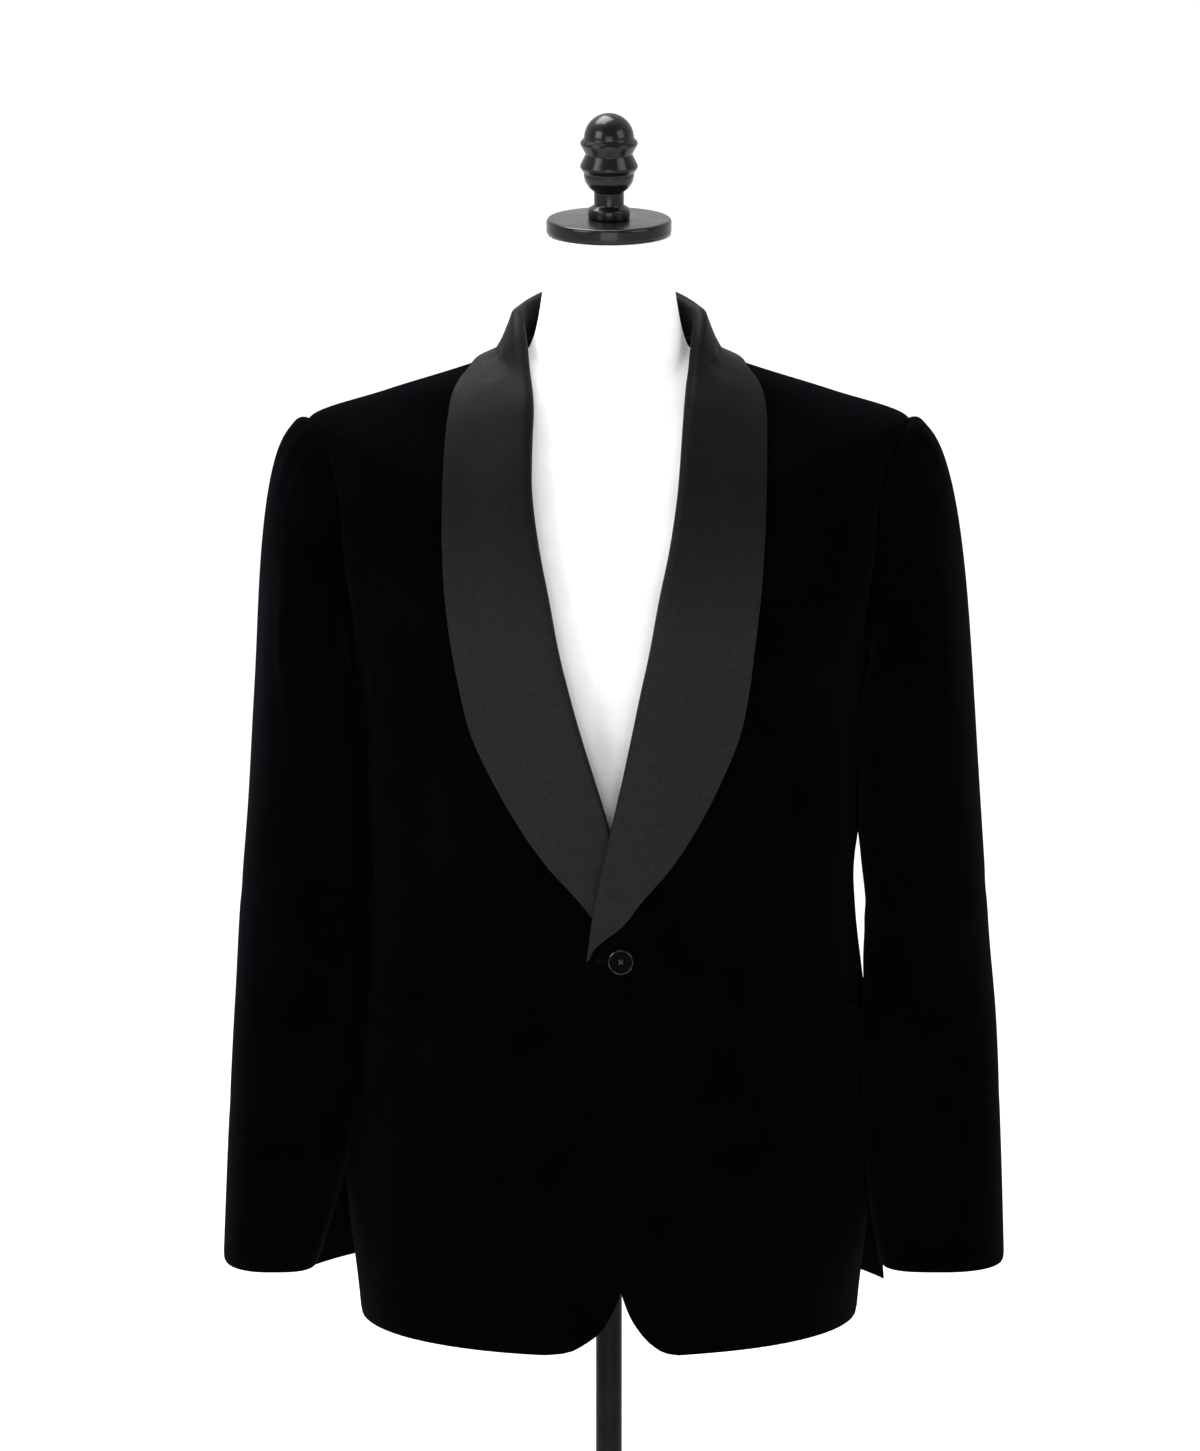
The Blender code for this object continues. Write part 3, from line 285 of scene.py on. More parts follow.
# Long soft creases, drawn on the cloth laid flat: from (angle, height), to (angle, height), half width,
# height out (or in, where negative), bow
BODY_CREASES = {
    "left": (
        (8.0, 0.958, 46.0, 1.004, 0.010, -0.0009, 0.006),
        (7.0, 0.946, 50.0, 0.936, 0.012, 0.0008, -0.008),
        (46.0, 0.880, 74.0, 0.960, 0.014, -0.0013, 0.008),
        (58.0, 1.010, 104.0, 0.986, 0.016, -0.0016, -0.010),
        (62.0, 1.052, 112.0, 1.040, 0.014, 0.0012, 0.008),
        (60.0, 1.160, 78.0, 1.090, 0.012, -0.0014, 0.006),
        (30.0, 0.850, 34.0, 0.690, 0.026, 0.0016, 0.010),
        (56.0, 0.840, 52.0, 0.680, 0.024, -0.0018, -0.008),
        (96.0, 1.170, 88.0, 1.030, 0.012, 0.0013, 0.006),
        (122.0, 1.010, 164.0, 0.986, 0.018, -0.0020, -0.012),
        (126.0, 1.058, 168.0, 1.046, 0.016, 0.0014, -0.008),
        (124.0, 1.230, 134.0, 1.110, 0.014, -0.0018, 0.010),
        (148.0, 0.900, 152.0, 0.720, 0.026, -0.0020, 0.012),
        (128.0, 0.880, 126.0, 0.740, 0.022, 0.0016, -0.006),
    ),
    "right": (
        (9.0, 0.964, 44.0, 1.012, 0.011, -0.0010, 0.006),
        (8.0, 0.944, 52.0, 0.928, 0.012, 0.0008, -0.006),
        (50.0, 0.884, 76.0, 0.972, 0.015, -0.0015, 0.010),
        (54.0, 1.022, 100.0, 0.992, 0.015, -0.0017, -0.012),
        (56.0, 1.068, 106.0, 1.050, 0.015, 0.0013, 0.010),
        (46.0, 1.300, 61.0, 1.218, 0.0055, -0.0012, -0.008),
        (57.0, 1.3605, 59.5, 1.320, 0.0045, -0.0009, 0.002),
        (61.5, 1.195, 64.0, 1.140, 0.0050, 0.0011, 0.002),
        (47.0, 1.164, 45.8, 1.134, 0.0035, 0.0008, 0.001),
        (66.0, 1.176, 74.0, 1.086, 0.013, -0.0016, 0.008),
        (28.0, 0.840, 36.0, 0.690, 0.024, 0.0014, -0.010),
        (60.0, 0.850, 64.0, 0.680, 0.022, -0.0020, 0.008),
        (94.0, 1.160, 90.0, 1.040, 0.012, 0.0012, -0.006),
        (118.0, 1.004, 160.0, 0.976, 0.018, -0.0021, -0.010),
        (124.0, 1.060, 162.0, 1.050, 0.016, 0.0013, -0.010),
        (126.0, 1.220, 138.0, 1.120, 0.014, -0.0016, 0.008),
        (144.0, 0.890, 150.0, 0.730, 0.024, -0.0018, -0.010),
        (126.0, 0.870, 130.0, 0.720, 0.020, 0.0015, 0.006),
    ),
}
BODY_SPREAD = 0.0032
SLEEVE_CREASES = {
    "left": (
        (50.0, 1.318, 66.0, 1.090, 0.0075, 0.0013, 0.003),
        (78.0, 1.270, 86.0, 1.110, 0.009, -0.0013, -0.003),
        (-40.0, 1.270, -30.0, 1.100, 0.009, -0.0012, 0.004),
        (40.0, 1.060, 110.0, 1.010, 0.009, 0.0013, -0.008),
        (60.0, 0.990, 118.0, 0.950, 0.008, 0.0012, 0.006),
        (-70.0, 1.030, 20.0, 0.985, 0.010, -0.0014, 0.008),
        (-80.0, 0.960, -10.0, 0.925, 0.009, 0.0012, -0.006),
        (20.0, 0.900, 96.0, 0.872, 0.009, -0.0013, 0.006),
        (-60.0, 0.880, 10.0, 0.820, 0.010, -0.0010, 0.006),
        (34.0, 0.810, 100.0, 0.772, 0.010, 0.0010, -0.006),
        (150.0, 1.080, 215.0, 1.030, 0.008, -0.0010, 0.006),
        (150.0, 0.970, 225.0, 0.940, 0.008, 0.0009, -0.006),
    ),
    "right": (
        (46.0, 1.304, 90.0, 1.070, 0.0050, 0.0018, 0.006),
        (62.0, 1.300, 104.0, 1.080, 0.0075, -0.0015, 0.006),
        (22.0, 1.260, 20.0, 1.100, 0.010, -0.0012, 0.004),
        (-44.0, 1.260, -34.0, 1.090, 0.009, -0.0012, -0.004),
        (36.0, 1.070, 108.0, 1.024, 0.009, 0.0014, -0.008),
        (52.0, 0.980, 116.0, 0.944, 0.008, 0.0012, 0.006),
        (-74.0, 1.040, 16.0, 0.980, 0.010, -0.0014, 0.008),
        (-84.0, 0.950, -12.0, 0.915, 0.009, 0.0012, -0.006),
        (16.0, 0.890, 92.0, 0.868, 0.009, -0.0013, 0.006),
        (-60.0, 0.870, 10.0, 0.810, 0.010, -0.0010, 0.006),
        (30.0, 0.800, 96.0, 0.770, 0.010, 0.0010, -0.006),
        (150.0, 1.090, 215.0, 1.040, 0.008, -0.0010, 0.006),
        (150.0, 0.960, 225.0, 0.930, 0.008, 0.0009, -0.006),
    ),
}
SLEEVE_SPREAD = 0.00072

# Front darts: lower end across and height, upper end across and height
DARTS = {
    "left": (0.1424, 0.9247, 0.1424, 1.2000),
    "right": (0.1365, 0.9207, 0.1435, 1.1700),
}
DART_FADE = 0.012
# Levels at which the dart is looked up, and the shares of a front that its column keeps between
DART_LEVELS = (0.60, 1.45, 90)
DART_SHARE = (0.30, 0.74)
DART_STITCH = (0.0008, 0.0007)
DART_PINCH = (0.0090, 0.0009)
SEAM_PINCH = (0.0035, 0.0006)
ARMHOLE_PINCH = (0.0070, 0.0007)

# Pockets and button on the fronts: across from the centre, height
WELT_CORNERS = {"inner": (0.100, 1.2035, 1.2325), "outer": (0.181, 1.2097, 1.2380)}
JET_INNER = (0.1195, 0.9145)
JET_OUTER = (0.1905, 0.9100)
JET_HEIGHT = 0.0058
JET_THICK = 0.0012
JET_PLUMP = 0.0007
PATCH_AIR = 0.0008
PATCH_ROUND = 0.0005
WELT_PLUMP = 0.0002
BUTTON_AT = (0.0090, 0.9585)
BUTTON_RADIUS = 0.0100
BUTTON_THICK = 0.0034
BUTTON_RIM = 0.0022
BUTTON_DISH = 0.0008
BUTTON_HOLE_RADIUS = 0.0010
BUTTON_HOLE_OUT = 0.0021
# What a hole leaves under it where the face is flat, and the least that it leaves
BUTTON_WELL = (0.0008, 0.0006)
BUTTON_LIFT = 0.0004
BUTTONHOLE = (-0.0085, 0.0030)
THREAD = 0.00022
# Buttonhole stitches: their distance apart, their inner and outer ends from the slit, and the fan's stitches
HOLE_STITCH = {"apart": 0.00052, "half": 0.0003, "reach": 0.0019, "fan": 9}
# Bar tacks: length of thread a stitch, and how much of it is hidden at each end
TACK_STITCH = 0.0012
TACK_HIDDEN = 0.0003

# Dress form: ring height at the side, front and back, half width, front and back depth, squareness
FORM = (
    (0.7400, 0.7400, 0.7400, 0.170, 0.100, 0.108, 2.20),
    (0.7700, 0.7700, 0.7700, 0.182, 0.110, 0.118, 2.20),
    (0.8300, 0.8300, 0.8300, 0.183, 0.111, 0.116, 2.20),
    (0.9100, 0.9100, 0.9100, 0.174, 0.106, 0.102, 2.20),
    (0.9870, 0.9870, 0.9870, 0.164, 0.101, 0.091, 2.20),
    (1.0800, 1.0800, 1.0800, 0.168, 0.107, 0.095, 2.20),
    (1.1700, 1.1690, 1.1700, 0.180, 0.114, 0.103, 2.20),
    (1.2500, 1.2380, 1.2450, 0.194, 0.112, 0.102, 2.00),
    (1.3200, 1.2800, 1.2950, 0.203, 0.100, 0.090, 1.80),
    (1.3560, 1.3030, 1.3200, 0.198, 0.090, 0.081, 1.68),
    (1.3800, 1.3250, 1.3460, 0.174, 0.081, 0.072, 1.68),
    (1.3957, 1.3430, 1.3700, 0.1288, 0.072, 0.064, 1.75),
    (1.4090, 1.3620, 1.3960, 0.0860, 0.064, 0.056, 1.85),
    (1.4190, 1.3830, 1.4150, 0.062, 0.056, 0.051, 2.00),
    (1.4480, 1.4300, 1.4480, 0.054, 0.052, 0.050, 2.00),
    (1.4800, 1.4760, 1.4800, 0.050, 0.050, 0.049, 2.00),
    (1.5090, 1.5090, 1.5090, 0.0484, 0.0484, 0.0484, 2.00),
)

# Hard parts of the stand
CAP_RADIUS = 0.0487
CAP_BOTTOM = 1.5093
CAP_TOP = 1.5214
CAP_ROUND = 0.0030
# The finial: its dome's radius and centre, and below it radius and height down to the foot
FINIAL_DOME = (0.0195, 1.5850)
FINIAL = (
    (0.0224, 1.5819), (0.0224, 1.5801), (0.0182, 1.5723), (0.0225, 1.5635), (0.0225, 1.5617),
    (0.0197, 1.5578), (0.0196, 1.5548), (0.0184, 1.5502), (0.0156, 1.5458), (0.0117, 1.5428),
    (0.0116, 1.5320), (0.0163, 1.5292),
)
POLE_RADIUS = 0.0102
POLE_BOTTOM = 0.0303
POLE_TOP = 0.7000
FLANGE_RADIUS = 0.045
FLANGE_THICK = 0.012
BOSS_RADIUS = 0.024
BASE_RADIUS = 0.180
BASE_EDGE = 0.009
BASE_BOSS_TOP = 0.030

# The photograph's view: 1200 x 1451 pixels, 0.78 mm each, seen from 12 degrees above
PIXEL = 0.00078
PHOTO_HEIGHT = 1451
VIEW_TILT = 12.0
VIEW_DISTANCE = 24.0
VIEW_CENTRE = (-0.0070, 0.0, 1.1183)
SENSOR = 36.0

# Studio lights: name, place, size in metres, power in watts, and the place they face
LIGHTS = (
    ("key_left", (-2.4, -1.8, 2.6), 1.6, 75.0),
    ("key_right", (2.4, -1.4, 2.6), 1.6, 38.0),
    ("front", (0.0, -4.5, 1.6), 2.4, 70.0),
    ("overhead", (-0.5, 0.6, 3.2), 1.4, 95.0),
)
LIGHT_AIM = (0.0, 0.0, 1.1)


# Shapes

def row_slopes(places, values):
    """Slopes at a table's rows that never overshoot: the harmonic mean of the slopes to either side."""
    secants = np.diff(values, axis=0) / np.diff(places)[:, None]
    before, after = secants[:-1], secants[1:]
    same_way = before * after > 0
    total = np.where(same_way, before + after, 1.0)
    middle = np.where(same_way, 2.0 * before * after / total, 0.0)
    return np.concatenate([secants[:1], middle, secants[-1:]])


def smooth_table(rows, at):
    """Read a table at `at`: its first column is the place, and cubic curves join the rows."""
    rows = np.asarray(rows, dtype=float)
    places, values = rows[:, 0], rows[:, 1:]
    slopes = row_slopes(places, values)
    at = np.clip(np.asarray(at, dtype=float), places[0], places[-1])
    row = np.clip(np.searchsorted(places, at, side="right") - 1, 0, len(places) - 2)
    step = (places[row + 1] - places[row])[..., None]
    t = (at[..., None] - places[row][..., None]) / step
    start = (2 * t**3 - 3 * t**2 + 1) * values[row] + (t**3 - 2 * t**2 + t) * step * slopes[row]
    end = (3 * t**2 - 2 * t**3) * values[row + 1] + (t**3 - t**2) * step * slopes[row + 1]
    return np.moveaxis(start + end, -1, 0)


def ease(low, high, at):
    """0 below low, 1 above high, and a smooth rise between."""
    t = np.clip((np.asarray(at, dtype=float) - low) / (high - low), 0.0, 1.0)
    return t * t * (3 - 2 * t)


def bell(distance, width):
    """1 on a line, falling to nothing on both sides of it: e to the minus (distance / width) squared."""
    return np.exp(-((distance / width) ** 2))


def signed_power(value, power):
    """The value's size to a power, with its own sign."""
    return np.sign(value) * np.abs(value) ** power


def gathered(count, pull=0.85):
    """Values from 0 to 1, closer together at both ends: t less a share of sin(2 pi t)."""
    t = np.linspace(0.0, 1.0, count)
    return t - pull * np.sin(2 * np.pi * t) / (2 * np.pi)


def unit(vectors):
    """The same directions, one long."""
    return vectors / np.maximum(np.linalg.norm(vectors, axis=-1, keepdims=True), 1e-12)


def ring_point(rings, angle, height):
    """A point of a ring stack: a squared oval, its height blended from front and back to the side."""
    front, back, width, chest, spine, square = smooth_table(rings, height)
    turn = np.radians(angle)
    across, along = np.sin(turn), np.cos(turn)
    reach = (np.abs(across) ** square + np.abs(along) ** square) ** (-1.0 / square)
    ahead = along > 0
    end_height = np.where(ahead, front, back)
    depth = np.where(ahead, chest, spine)
    level = height + (end_height - height) * along**2
    return np.stack([width * across * reach, -depth * along * reach, level], axis=-1)


def figure(angle, height):
    """A point of the jacket's own figure."""
    angle, height = np.broadcast_arrays(np.asarray(angle, dtype=float), np.asarray(height, dtype=float))
    return ring_point(FIGURE, angle, height)


def outward(surface, first, second, small=(0.05, 0.0005)):
    """The unit normal of a surface of two values, pointing out of the body."""
    along_first = surface(first + small[0], second) - surface(first - small[0], second)
    along_second = surface(first, second + small[1]) - surface(first, second - small[1])
    return unit(np.cross(along_first, along_second))


def on_figure(across, level):
    """Angle and height of the place on the front that lies `across` from the centre at `level`."""
    across, level = np.broadcast_arrays(np.asarray(across, dtype=float), np.asarray(level, dtype=float))
    height = level.copy()
    for _ in range(60):
        front, _, width, _, _, square = smooth_table(FIGURE, height)
        share = np.clip(np.abs(across) / width, 0.0, 1.0)
        ahead = (1.0 - share**square) ** (1.0 / square)
        angle = np.degrees(np.arctan2(np.sign(across) * share, ahead))
        found = height + (front - height) * np.cos(np.radians(angle)) ** 2
        height = height + 0.7 * (level - found)
    return angle, height


def lap_lift(side, point):
    """How far a front stands off the figure: only the left one, where it lies over the right."""
    if side == "right":
        return np.zeros(point.shape[:-1])
    (lift,) = smooth_table(LAP, point[..., 2])
    return np.clip(lift, 0.0, None) * (1.0 - ease(*LAP_FADE, point[..., 0]))


def beside(angle, height, distance):
    """The angle that lies `distance` further round the ring."""
    step = 0.25
    speed = np.linalg.norm(figure(angle + step, height) - figure(angle, height), axis=-1) / step
    return angle + distance / speed


def creased(across, along, table, spread):
    """Soft creases summed: a bell across each bowed line, fading as a sine to both of its ends."""
    lift = np.zeros(np.broadcast(across, along).shape)
    for angle_0, level_0, angle_1, level_1, width, out, bow in table:
        run, rise = (angle_1 - angle_0) * spread, level_1 - level_0
        length = np.hypot(run, rise)
        x, z = (across - angle_0) * spread, along - level_0
        t = np.clip((x * run + z * rise) / length**2, 0.0, 1.0)
        off = (x * rise - z * run) / length - bow * 4 * t * (1 - t)
        lift = lift + out * bell(off, width) * np.sin(np.pi * t) ** 1.5
    return lift


def dart_across(side, level):
    """How far from the centre the dart's line lies at a level, along one straight line."""
    low_x, low_z, high_x, high_z = DARTS[side]
    return low_x + (high_x - low_x) * (level - low_z) / (high_z - low_z)


def body_relief(side, angle, height, point):
    """What is pressed into the cloth of the body: creases, the front dart and the pull at the armhole."""
    relief = creased(angle, height, BODY_CREASES[side], BODY_SPREAD)
    share = (np.abs(angle - SHOULDER_SEAM) / ARMHOLE_REACH) ** ARMHOLE_ROUND
    share = share + (np.abs(height - ARMHOLE_MIDDLE) / ARMHOLE_HIGH) ** ARMHOLE_ROUND
    from_armhole = (share ** (1.0 / ARMHOLE_ROUND) - 1.0) * ARMHOLE_RADIUS
    relief = relief - ARMHOLE_PINCH[1] * bell(from_armhole, ARMHOLE_PINCH[0])
    level = point[..., 2]
    _, low, _, high = DARTS[side]
    long = ease(low - DART_FADE, low + DART_FADE, level) - ease(high - DART_FADE, high + DART_FADE, level)
    off = point[..., 0] - dart_across(side, level)
    pinch = DART_STITCH[1] * bell(off, DART_STITCH[0]) + DART_PINCH[1] * bell(off, DART_PINCH[0])
    return relief - pinch * long * (angle < SIDE_SEAM)


def front_point(side, angle, height, lift):
    """A point at `lift` over the outside of a front, creases and lap included."""
    base = figure(angle, height)
    out = lap_lift(side, base) + body_relief(side, angle, height, base) + lift
    return base + out[..., None] * outward(figure, angle, height)


def panel_point(side, angle, height, lift):
    """A point at `lift` over a front without its creases, as the collar is laid."""
    base = figure(angle, height)
    return base + (lap_lift(side, base) + lift)[..., None] * outward(figure, angle, height)


# Meshes

def lengths(grid, axis):
    """Distance run along a grid's rows (axis 1) or columns (axis 0), from its first line."""
    steps = np.linalg.norm(np.diff(grid, axis=axis), axis=-1)
    start = np.zeros_like(np.take(steps, [0], axis=axis))
    return np.cumsum(np.concatenate([start, steps], axis=axis), axis=axis)


def from_edges(grid):
    """Distance of each point from the nearest edge of its grid."""
    along, up = lengths(grid, 1), lengths(grid, 0)
    return np.minimum(np.minimum(along, along[:, -1:] - along), np.minimum(up, up[-1:] - up))


def grid_normal(grid):
    """The unit normal of a grid whose columns run to the right and rows upward, seen from outside."""
    return unit(np.cross(np.gradient(grid, axis=1), np.gradient(grid, axis=0)))


def rounded(distance, radius=EDGE_ROUND):
    """How far a wall's face draws in at its edge, a quarter circle: r - sqrt(r^2 - (r - d)^2)."""
    inside = np.clip(radius - distance, 0.0, radius)
    return radius - np.sqrt(radius**2 - inside**2)


def wall_faces(rows, columns):
    """Faces of a closed wall: the outer grid, the inner grid turned round, and the rim between them."""
    count = rows * columns
    at = np.arange(count).reshape(rows, columns)
    quads = np.stack([at[:-1, :-1], at[:-1, 1:], at[1:, 1:], at[1:, :-1]], axis=-1).reshape(-1, 4)
    border = np.concatenate([at[0], at[1:, -1], at[-1, -2::-1], at[-2:0:-1, 0]])
    after = np.roll(border, -1)
    rim = np.stack([border, border + count, after + count, after], axis=-1)
    return np.concatenate([quads, quads[:, ::-1] + count, rim])


def make_piece(name, points, faces, material, uv=None, side="left", sharp=60.0):
    """A named object of a mesh, mirrored for the right side, its cut kept as a UV map in metres."""
    points = np.array(points, dtype=float)
    faces = np.asarray(faces) if isinstance(faces, np.ndarray) else faces
    if side == "right":
        points[:, 0] *= -1.0
        faces = faces[:, ::-1] if isinstance(faces, np.ndarray) else [face[::-1] for face in faces]
    mesh = bpy.data.meshes.new(name)
    mesh.from_pydata(points.tolist(), [], faces.tolist() if isinstance(faces, np.ndarray) else faces)
    mesh.update()
    if uv is not None:
        corners = np.empty(len(mesh.loops), dtype=np.int32)
        mesh.loops.foreach_get("vertex_index", corners)
        mesh.uv_layers.new(name="cut").data.foreach_set("uv", uv[corners].astype(np.float32).ravel())
    mesh.polygons.foreach_set("use_smooth", np.ones(len(mesh.polygons), dtype=bool))
    mesh.set_sharp_from_angle(angle=np.radians(sharp))
    mesh.materials.append(material)
    thing = bpy.data.objects.new(name, mesh)
    bpy.context.scene.collection.objects.link(thing)
    return thing


def dress(thing, slot, *nodes):
    """Let a piece ride on the body and stand for its nodes, which are hidden; the slot is not used."""
    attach(thing, BODY)
    if nodes:
        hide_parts(*nodes)


def cloth_wall(name, node, over, under, slot, side):
    """A closed wall of cloth from its two grids, its cut laid out as a UV map from the size of its middle."""
    middle = (over + under) / 2
    along, up = lengths(middle, 1), lengths(middle, 0)
    column = middle.shape[1] // 2
    cut = np.stack([along - along[:, column:column + 1], up[:, column:column + 1] + 0 * along], axis=-1)
    uv = np.concatenate([cut.reshape(-1, 2)] * 2)
    points = np.concatenate([over.reshape(-1, 3), under.reshape(-1, 3)])
    thing = make_piece(name, points, wall_faces(*over.shape[:2]), MATERIALS[slot], uv, side)
    dress(thing, slot, node)


def velvet_panel(piece, side, grid, relief, normal):
    """A velvet piece: relief and a pinched seam pressed into its grid, and its edges rolled round."""
    edge = from_edges(grid)
    pressed = relief - SEAM_PINCH[1] * bell(edge, SEAM_PINCH[0])
    turned_in = rounded(edge)
    over = grid + (pressed - turned_in)[..., None] * normal
    under = grid + (pressed - VELVET + turned_in)[..., None] * normal
    cloth_wall(f"velvet_{piece}_{side}", f"{piece}_{side}", over, under, "velvet", side)


def ring_faces(rings, steps, first, last):
    """Faces of a closed skin of rings: a fan at its first pole, quads between rings, a fan at its last."""
    here = list(range(steps))
    pairs = list(zip(here, here[1:] + here[:1]))
    faces = [(first, a, b) for a, b in pairs]
    for ring in range(rings - 1):
        near, far = ring * steps, (ring + 1) * steps
        faces += [(near + a, far + a, far + b, near + b) for a, b in pairs]
    end = (rings - 1) * steps
    return faces + [(last, end + b, end + a) for a, b in pairs]


def turned(name, profile, slot, node, steps=96, sharp=40.0):
    """A profile of (radius, height), top to bottom, turned round Z, its poles closed by fans."""
    profile = np.asarray(profile, dtype=float)
    turn = np.arange(steps) * 2 * np.pi / steps
    middle = profile[1:-1]
    rings = np.stack([middle[:, :1] * np.cos(turn), middle[:, :1] * np.sin(turn),
                      np.repeat(middle[:, 1:], steps, axis=1)], axis=-1)
    points = np.concatenate([rings.reshape(-1, 3), [[0.0, 0.0, profile[0, 1]], [0.0, 0.0, profile[-1, 1]]]])
    faces = ring_faces(len(middle), steps, len(points) - 2, len(points) - 1)
    dress(make_piece(name, points, faces, MATERIALS[slot], sharp=sharp), slot, node)


def softened(profile, radius, steps=4):
    """A profile with its corners rounded: each corner becomes a short curve between its two sides."""
    profile = [np.asarray(point, dtype=float) for point in profile]
    out = [profile[0]]
    for before, here, after in zip(profile, profile[1:], profile[2:]):
        back, ahead = before - here, after - here
        cut = min(radius, 0.45 * np.linalg.norm(back), 0.45 * np.linalg.norm(ahead))
        start = here + cut * back / np.linalg.norm(back)
        end = here + cut * ahead / np.linalg.norm(ahead)
        for t in np.linspace(0.0, 1.0, steps + 1):
            out.append((1 - t) ** 2 * start + 2 * t * (1 - t) * here + t**2 * end)
    out.append(profile[-1])
    return np.array(out)


def thread_run(name, starts, ends, radius, material, slot, bulge=0.0, sides=6, stations=7):
    """Stitches, each a short tube from its start to its end that arches by `bulge` at its middle."""
    starts, ends, rise = (np.asarray(value, dtype=float) for value in (starts, ends, bulge))
    share = np.linspace(0.0, 1.0, stations)[None, :, None]
    path = starts[:, None] + (ends - starts)[:, None] * share + (rise * 4 * (1 - share) * share)
    along = unit(np.gradient(path, axis=1))
    first = unit(np.cross(along, np.array([0.31, 0.23, 0.92])))
    second = np.cross(along, first)
    size = radius * np.sqrt(np.clip(1.0 - (2 * share - 1.0) ** 6, 0.08, 1.0))
    turn = np.arange(sides) * 2 * np.pi / sides
    ring = (path[:, :, None] + size[:, :, None] * (np.cos(turn)[:, None] * first[:, :, None]
            + np.sin(turn)[:, None] * second[:, :, None]))
    points = ring.reshape(-1, 3)
    a = np.arange(sides)
    b = (a + 1) % sides
    faces = []
    for stitch in range(len(starts)):
        base = stitch * stations * sides
        for k in range(stations - 1):
            low, high = base + k * sides, base + (k + 1) * sides
            faces += [(low + i, low + j, high + j, high + i) for i, j in zip(a.tolist(), b.tolist())]
        faces.append(tuple(base + i for i in reversed(range(sides))))
        faces.append(tuple(base + (stations - 1) * sides + i for i in range(sides)))
    thing = make_piece(name, points, faces, material)
    dress(thing, slot)
    return thing


# Materials

def new_group(name, inputs, outputs):
    """A shader node group with named inputs and outputs, each a (name, kind) pair."""
    group = bpy.data.node_groups.new(name, "ShaderNodeTree")
    for label, kind in inputs:
        group.interface.new_socket(name=label, in_out="INPUT", socket_type=f"NodeSocket{kind}")
    for label, kind in outputs:
        group.interface.new_socket(name=label, in_out="OUTPUT", socket_type=f"NodeSocket{kind}")
    return group, group.nodes.new("NodeGroupInput"), group.nodes.new("NodeGroupOutput")


def add_node(tree, kind, settings=None, **inputs):
    """A node with its settings, and its inputs set to values or linked to other nodes' outputs."""
    node = tree.nodes.new(f"ShaderNode{kind}")
    for label, value in (settings or {}).items():
        setattr(node, label, value)
    for label, value in inputs.items():
        socket = node.inputs[int(label[2:])] if label.startswith("in") and label[2:].isdigit() \
            else node.inputs[label.replace("_", " ")]
        if isinstance(value, bpy.types.NodeSocket):
            tree.links.new(value, socket)
        else:
            socket.default_value = value
    return node


NOISE_INPUTS = (("Vector", "Vector"), ("Scale", "Float"))


def make_uneven_tone():
    """Broad soft patches, from 0 to 1: smooth noise stretched to its full range."""
    group, given, out = new_group("uneven_tone", NOISE_INPUTS, (("Mask", "Float"),))
    noise = add_node(group, "TexNoise", Vector=given.outputs["Vector"], Scale=given.outputs["Scale"],
                     Detail=3.0, Roughness=0.55)
    spread = add_node(group, "MapRange", Value=noise.outputs["Fac"], From_Min=0.32, From_Max=0.68)
    group.links.new(spread.outputs["Result"], out.inputs["Mask"])
    return group


def make_fine_grain():
    """Short pile or grain, from 0 to 1: fine noise mixed with cells of the same size."""
    group, given, out = new_group("fine_grain", NOISE_INPUTS, (("Height", "Float"),))
    noise = add_node(group, "TexNoise", Vector=given.outputs["Vector"], Scale=given.outputs["Scale"],
                     Detail=2.0, Roughness=0.6)
    cells = add_node(group, "TexVoronoi", Vector=given.outputs["Vector"], Scale=given.outputs["Scale"])
    mixed = add_node(group, "Math", {"operation": "MULTIPLY_ADD"}, in0=cells.outputs["Distance"], in1=0.5,
                     in2=noise.outputs["Fac"])
    group.links.new(mixed.outputs["Value"], out.inputs["Height"])
    return group


UNEVEN_TONE = make_uneven_tone()
FINE_GRAIN = make_fine_grain()


def place_group(tree, group, **inputs):
    """A group placed in a material, its inputs set or linked."""
    node = tree.nodes.new("ShaderNodeGroup")
    node.node_tree = group
    for label, value in inputs.items():
        if isinstance(value, bpy.types.NodeSocket):
            tree.links.new(value, node.inputs[label])
        else:
            node.inputs[label].default_value = value
    return node


def blend_colour(tree, mask, dark, light):
    """A colour between two, by a mask."""
    mix = tree.nodes.new("ShaderNodeMix")
    mix.data_type = "RGBA"
    tree.links.new(mask, mix.inputs["Factor"])
    mix.inputs[6].default_value = (*dark, 1.0)
    mix.inputs[7].default_value = (*light, 1.0)
    return mix.outputs[2]


def new_material(name, **constants):
    """A material with its Principled shader's own sockets set; returns it, its tree and its shader."""
    material = bpy.data.materials.new(name)
    material.use_nodes = True
    tree = material.node_tree
    shader = tree.nodes["Principled BSDF"]
    for label, value in constants.items():
        shader.inputs[label.replace("_", " ")].default_value = value
    return material, tree, shader


def surface(tree, shader, colour, rough, height=None, depth=0.0001, strength=0.5):
    """Link a colour, a roughness range by a mask, and a bump to the shader."""
    tree.links.new(colour, shader.inputs["Base Color"])
    mask, low, high = rough
    spread = add_node(tree, "MapRange", Value=mask, To_Min=low, To_Max=high)
    tree.links.new(spread.outputs["Result"], shader.inputs["Roughness"])
    if height is not None:
        bump = add_node(tree, "Bump", Strength=strength, Distance=depth, Height=height)
        tree.links.new(bump.outputs["Normal"], shader.inputs["Normal"])


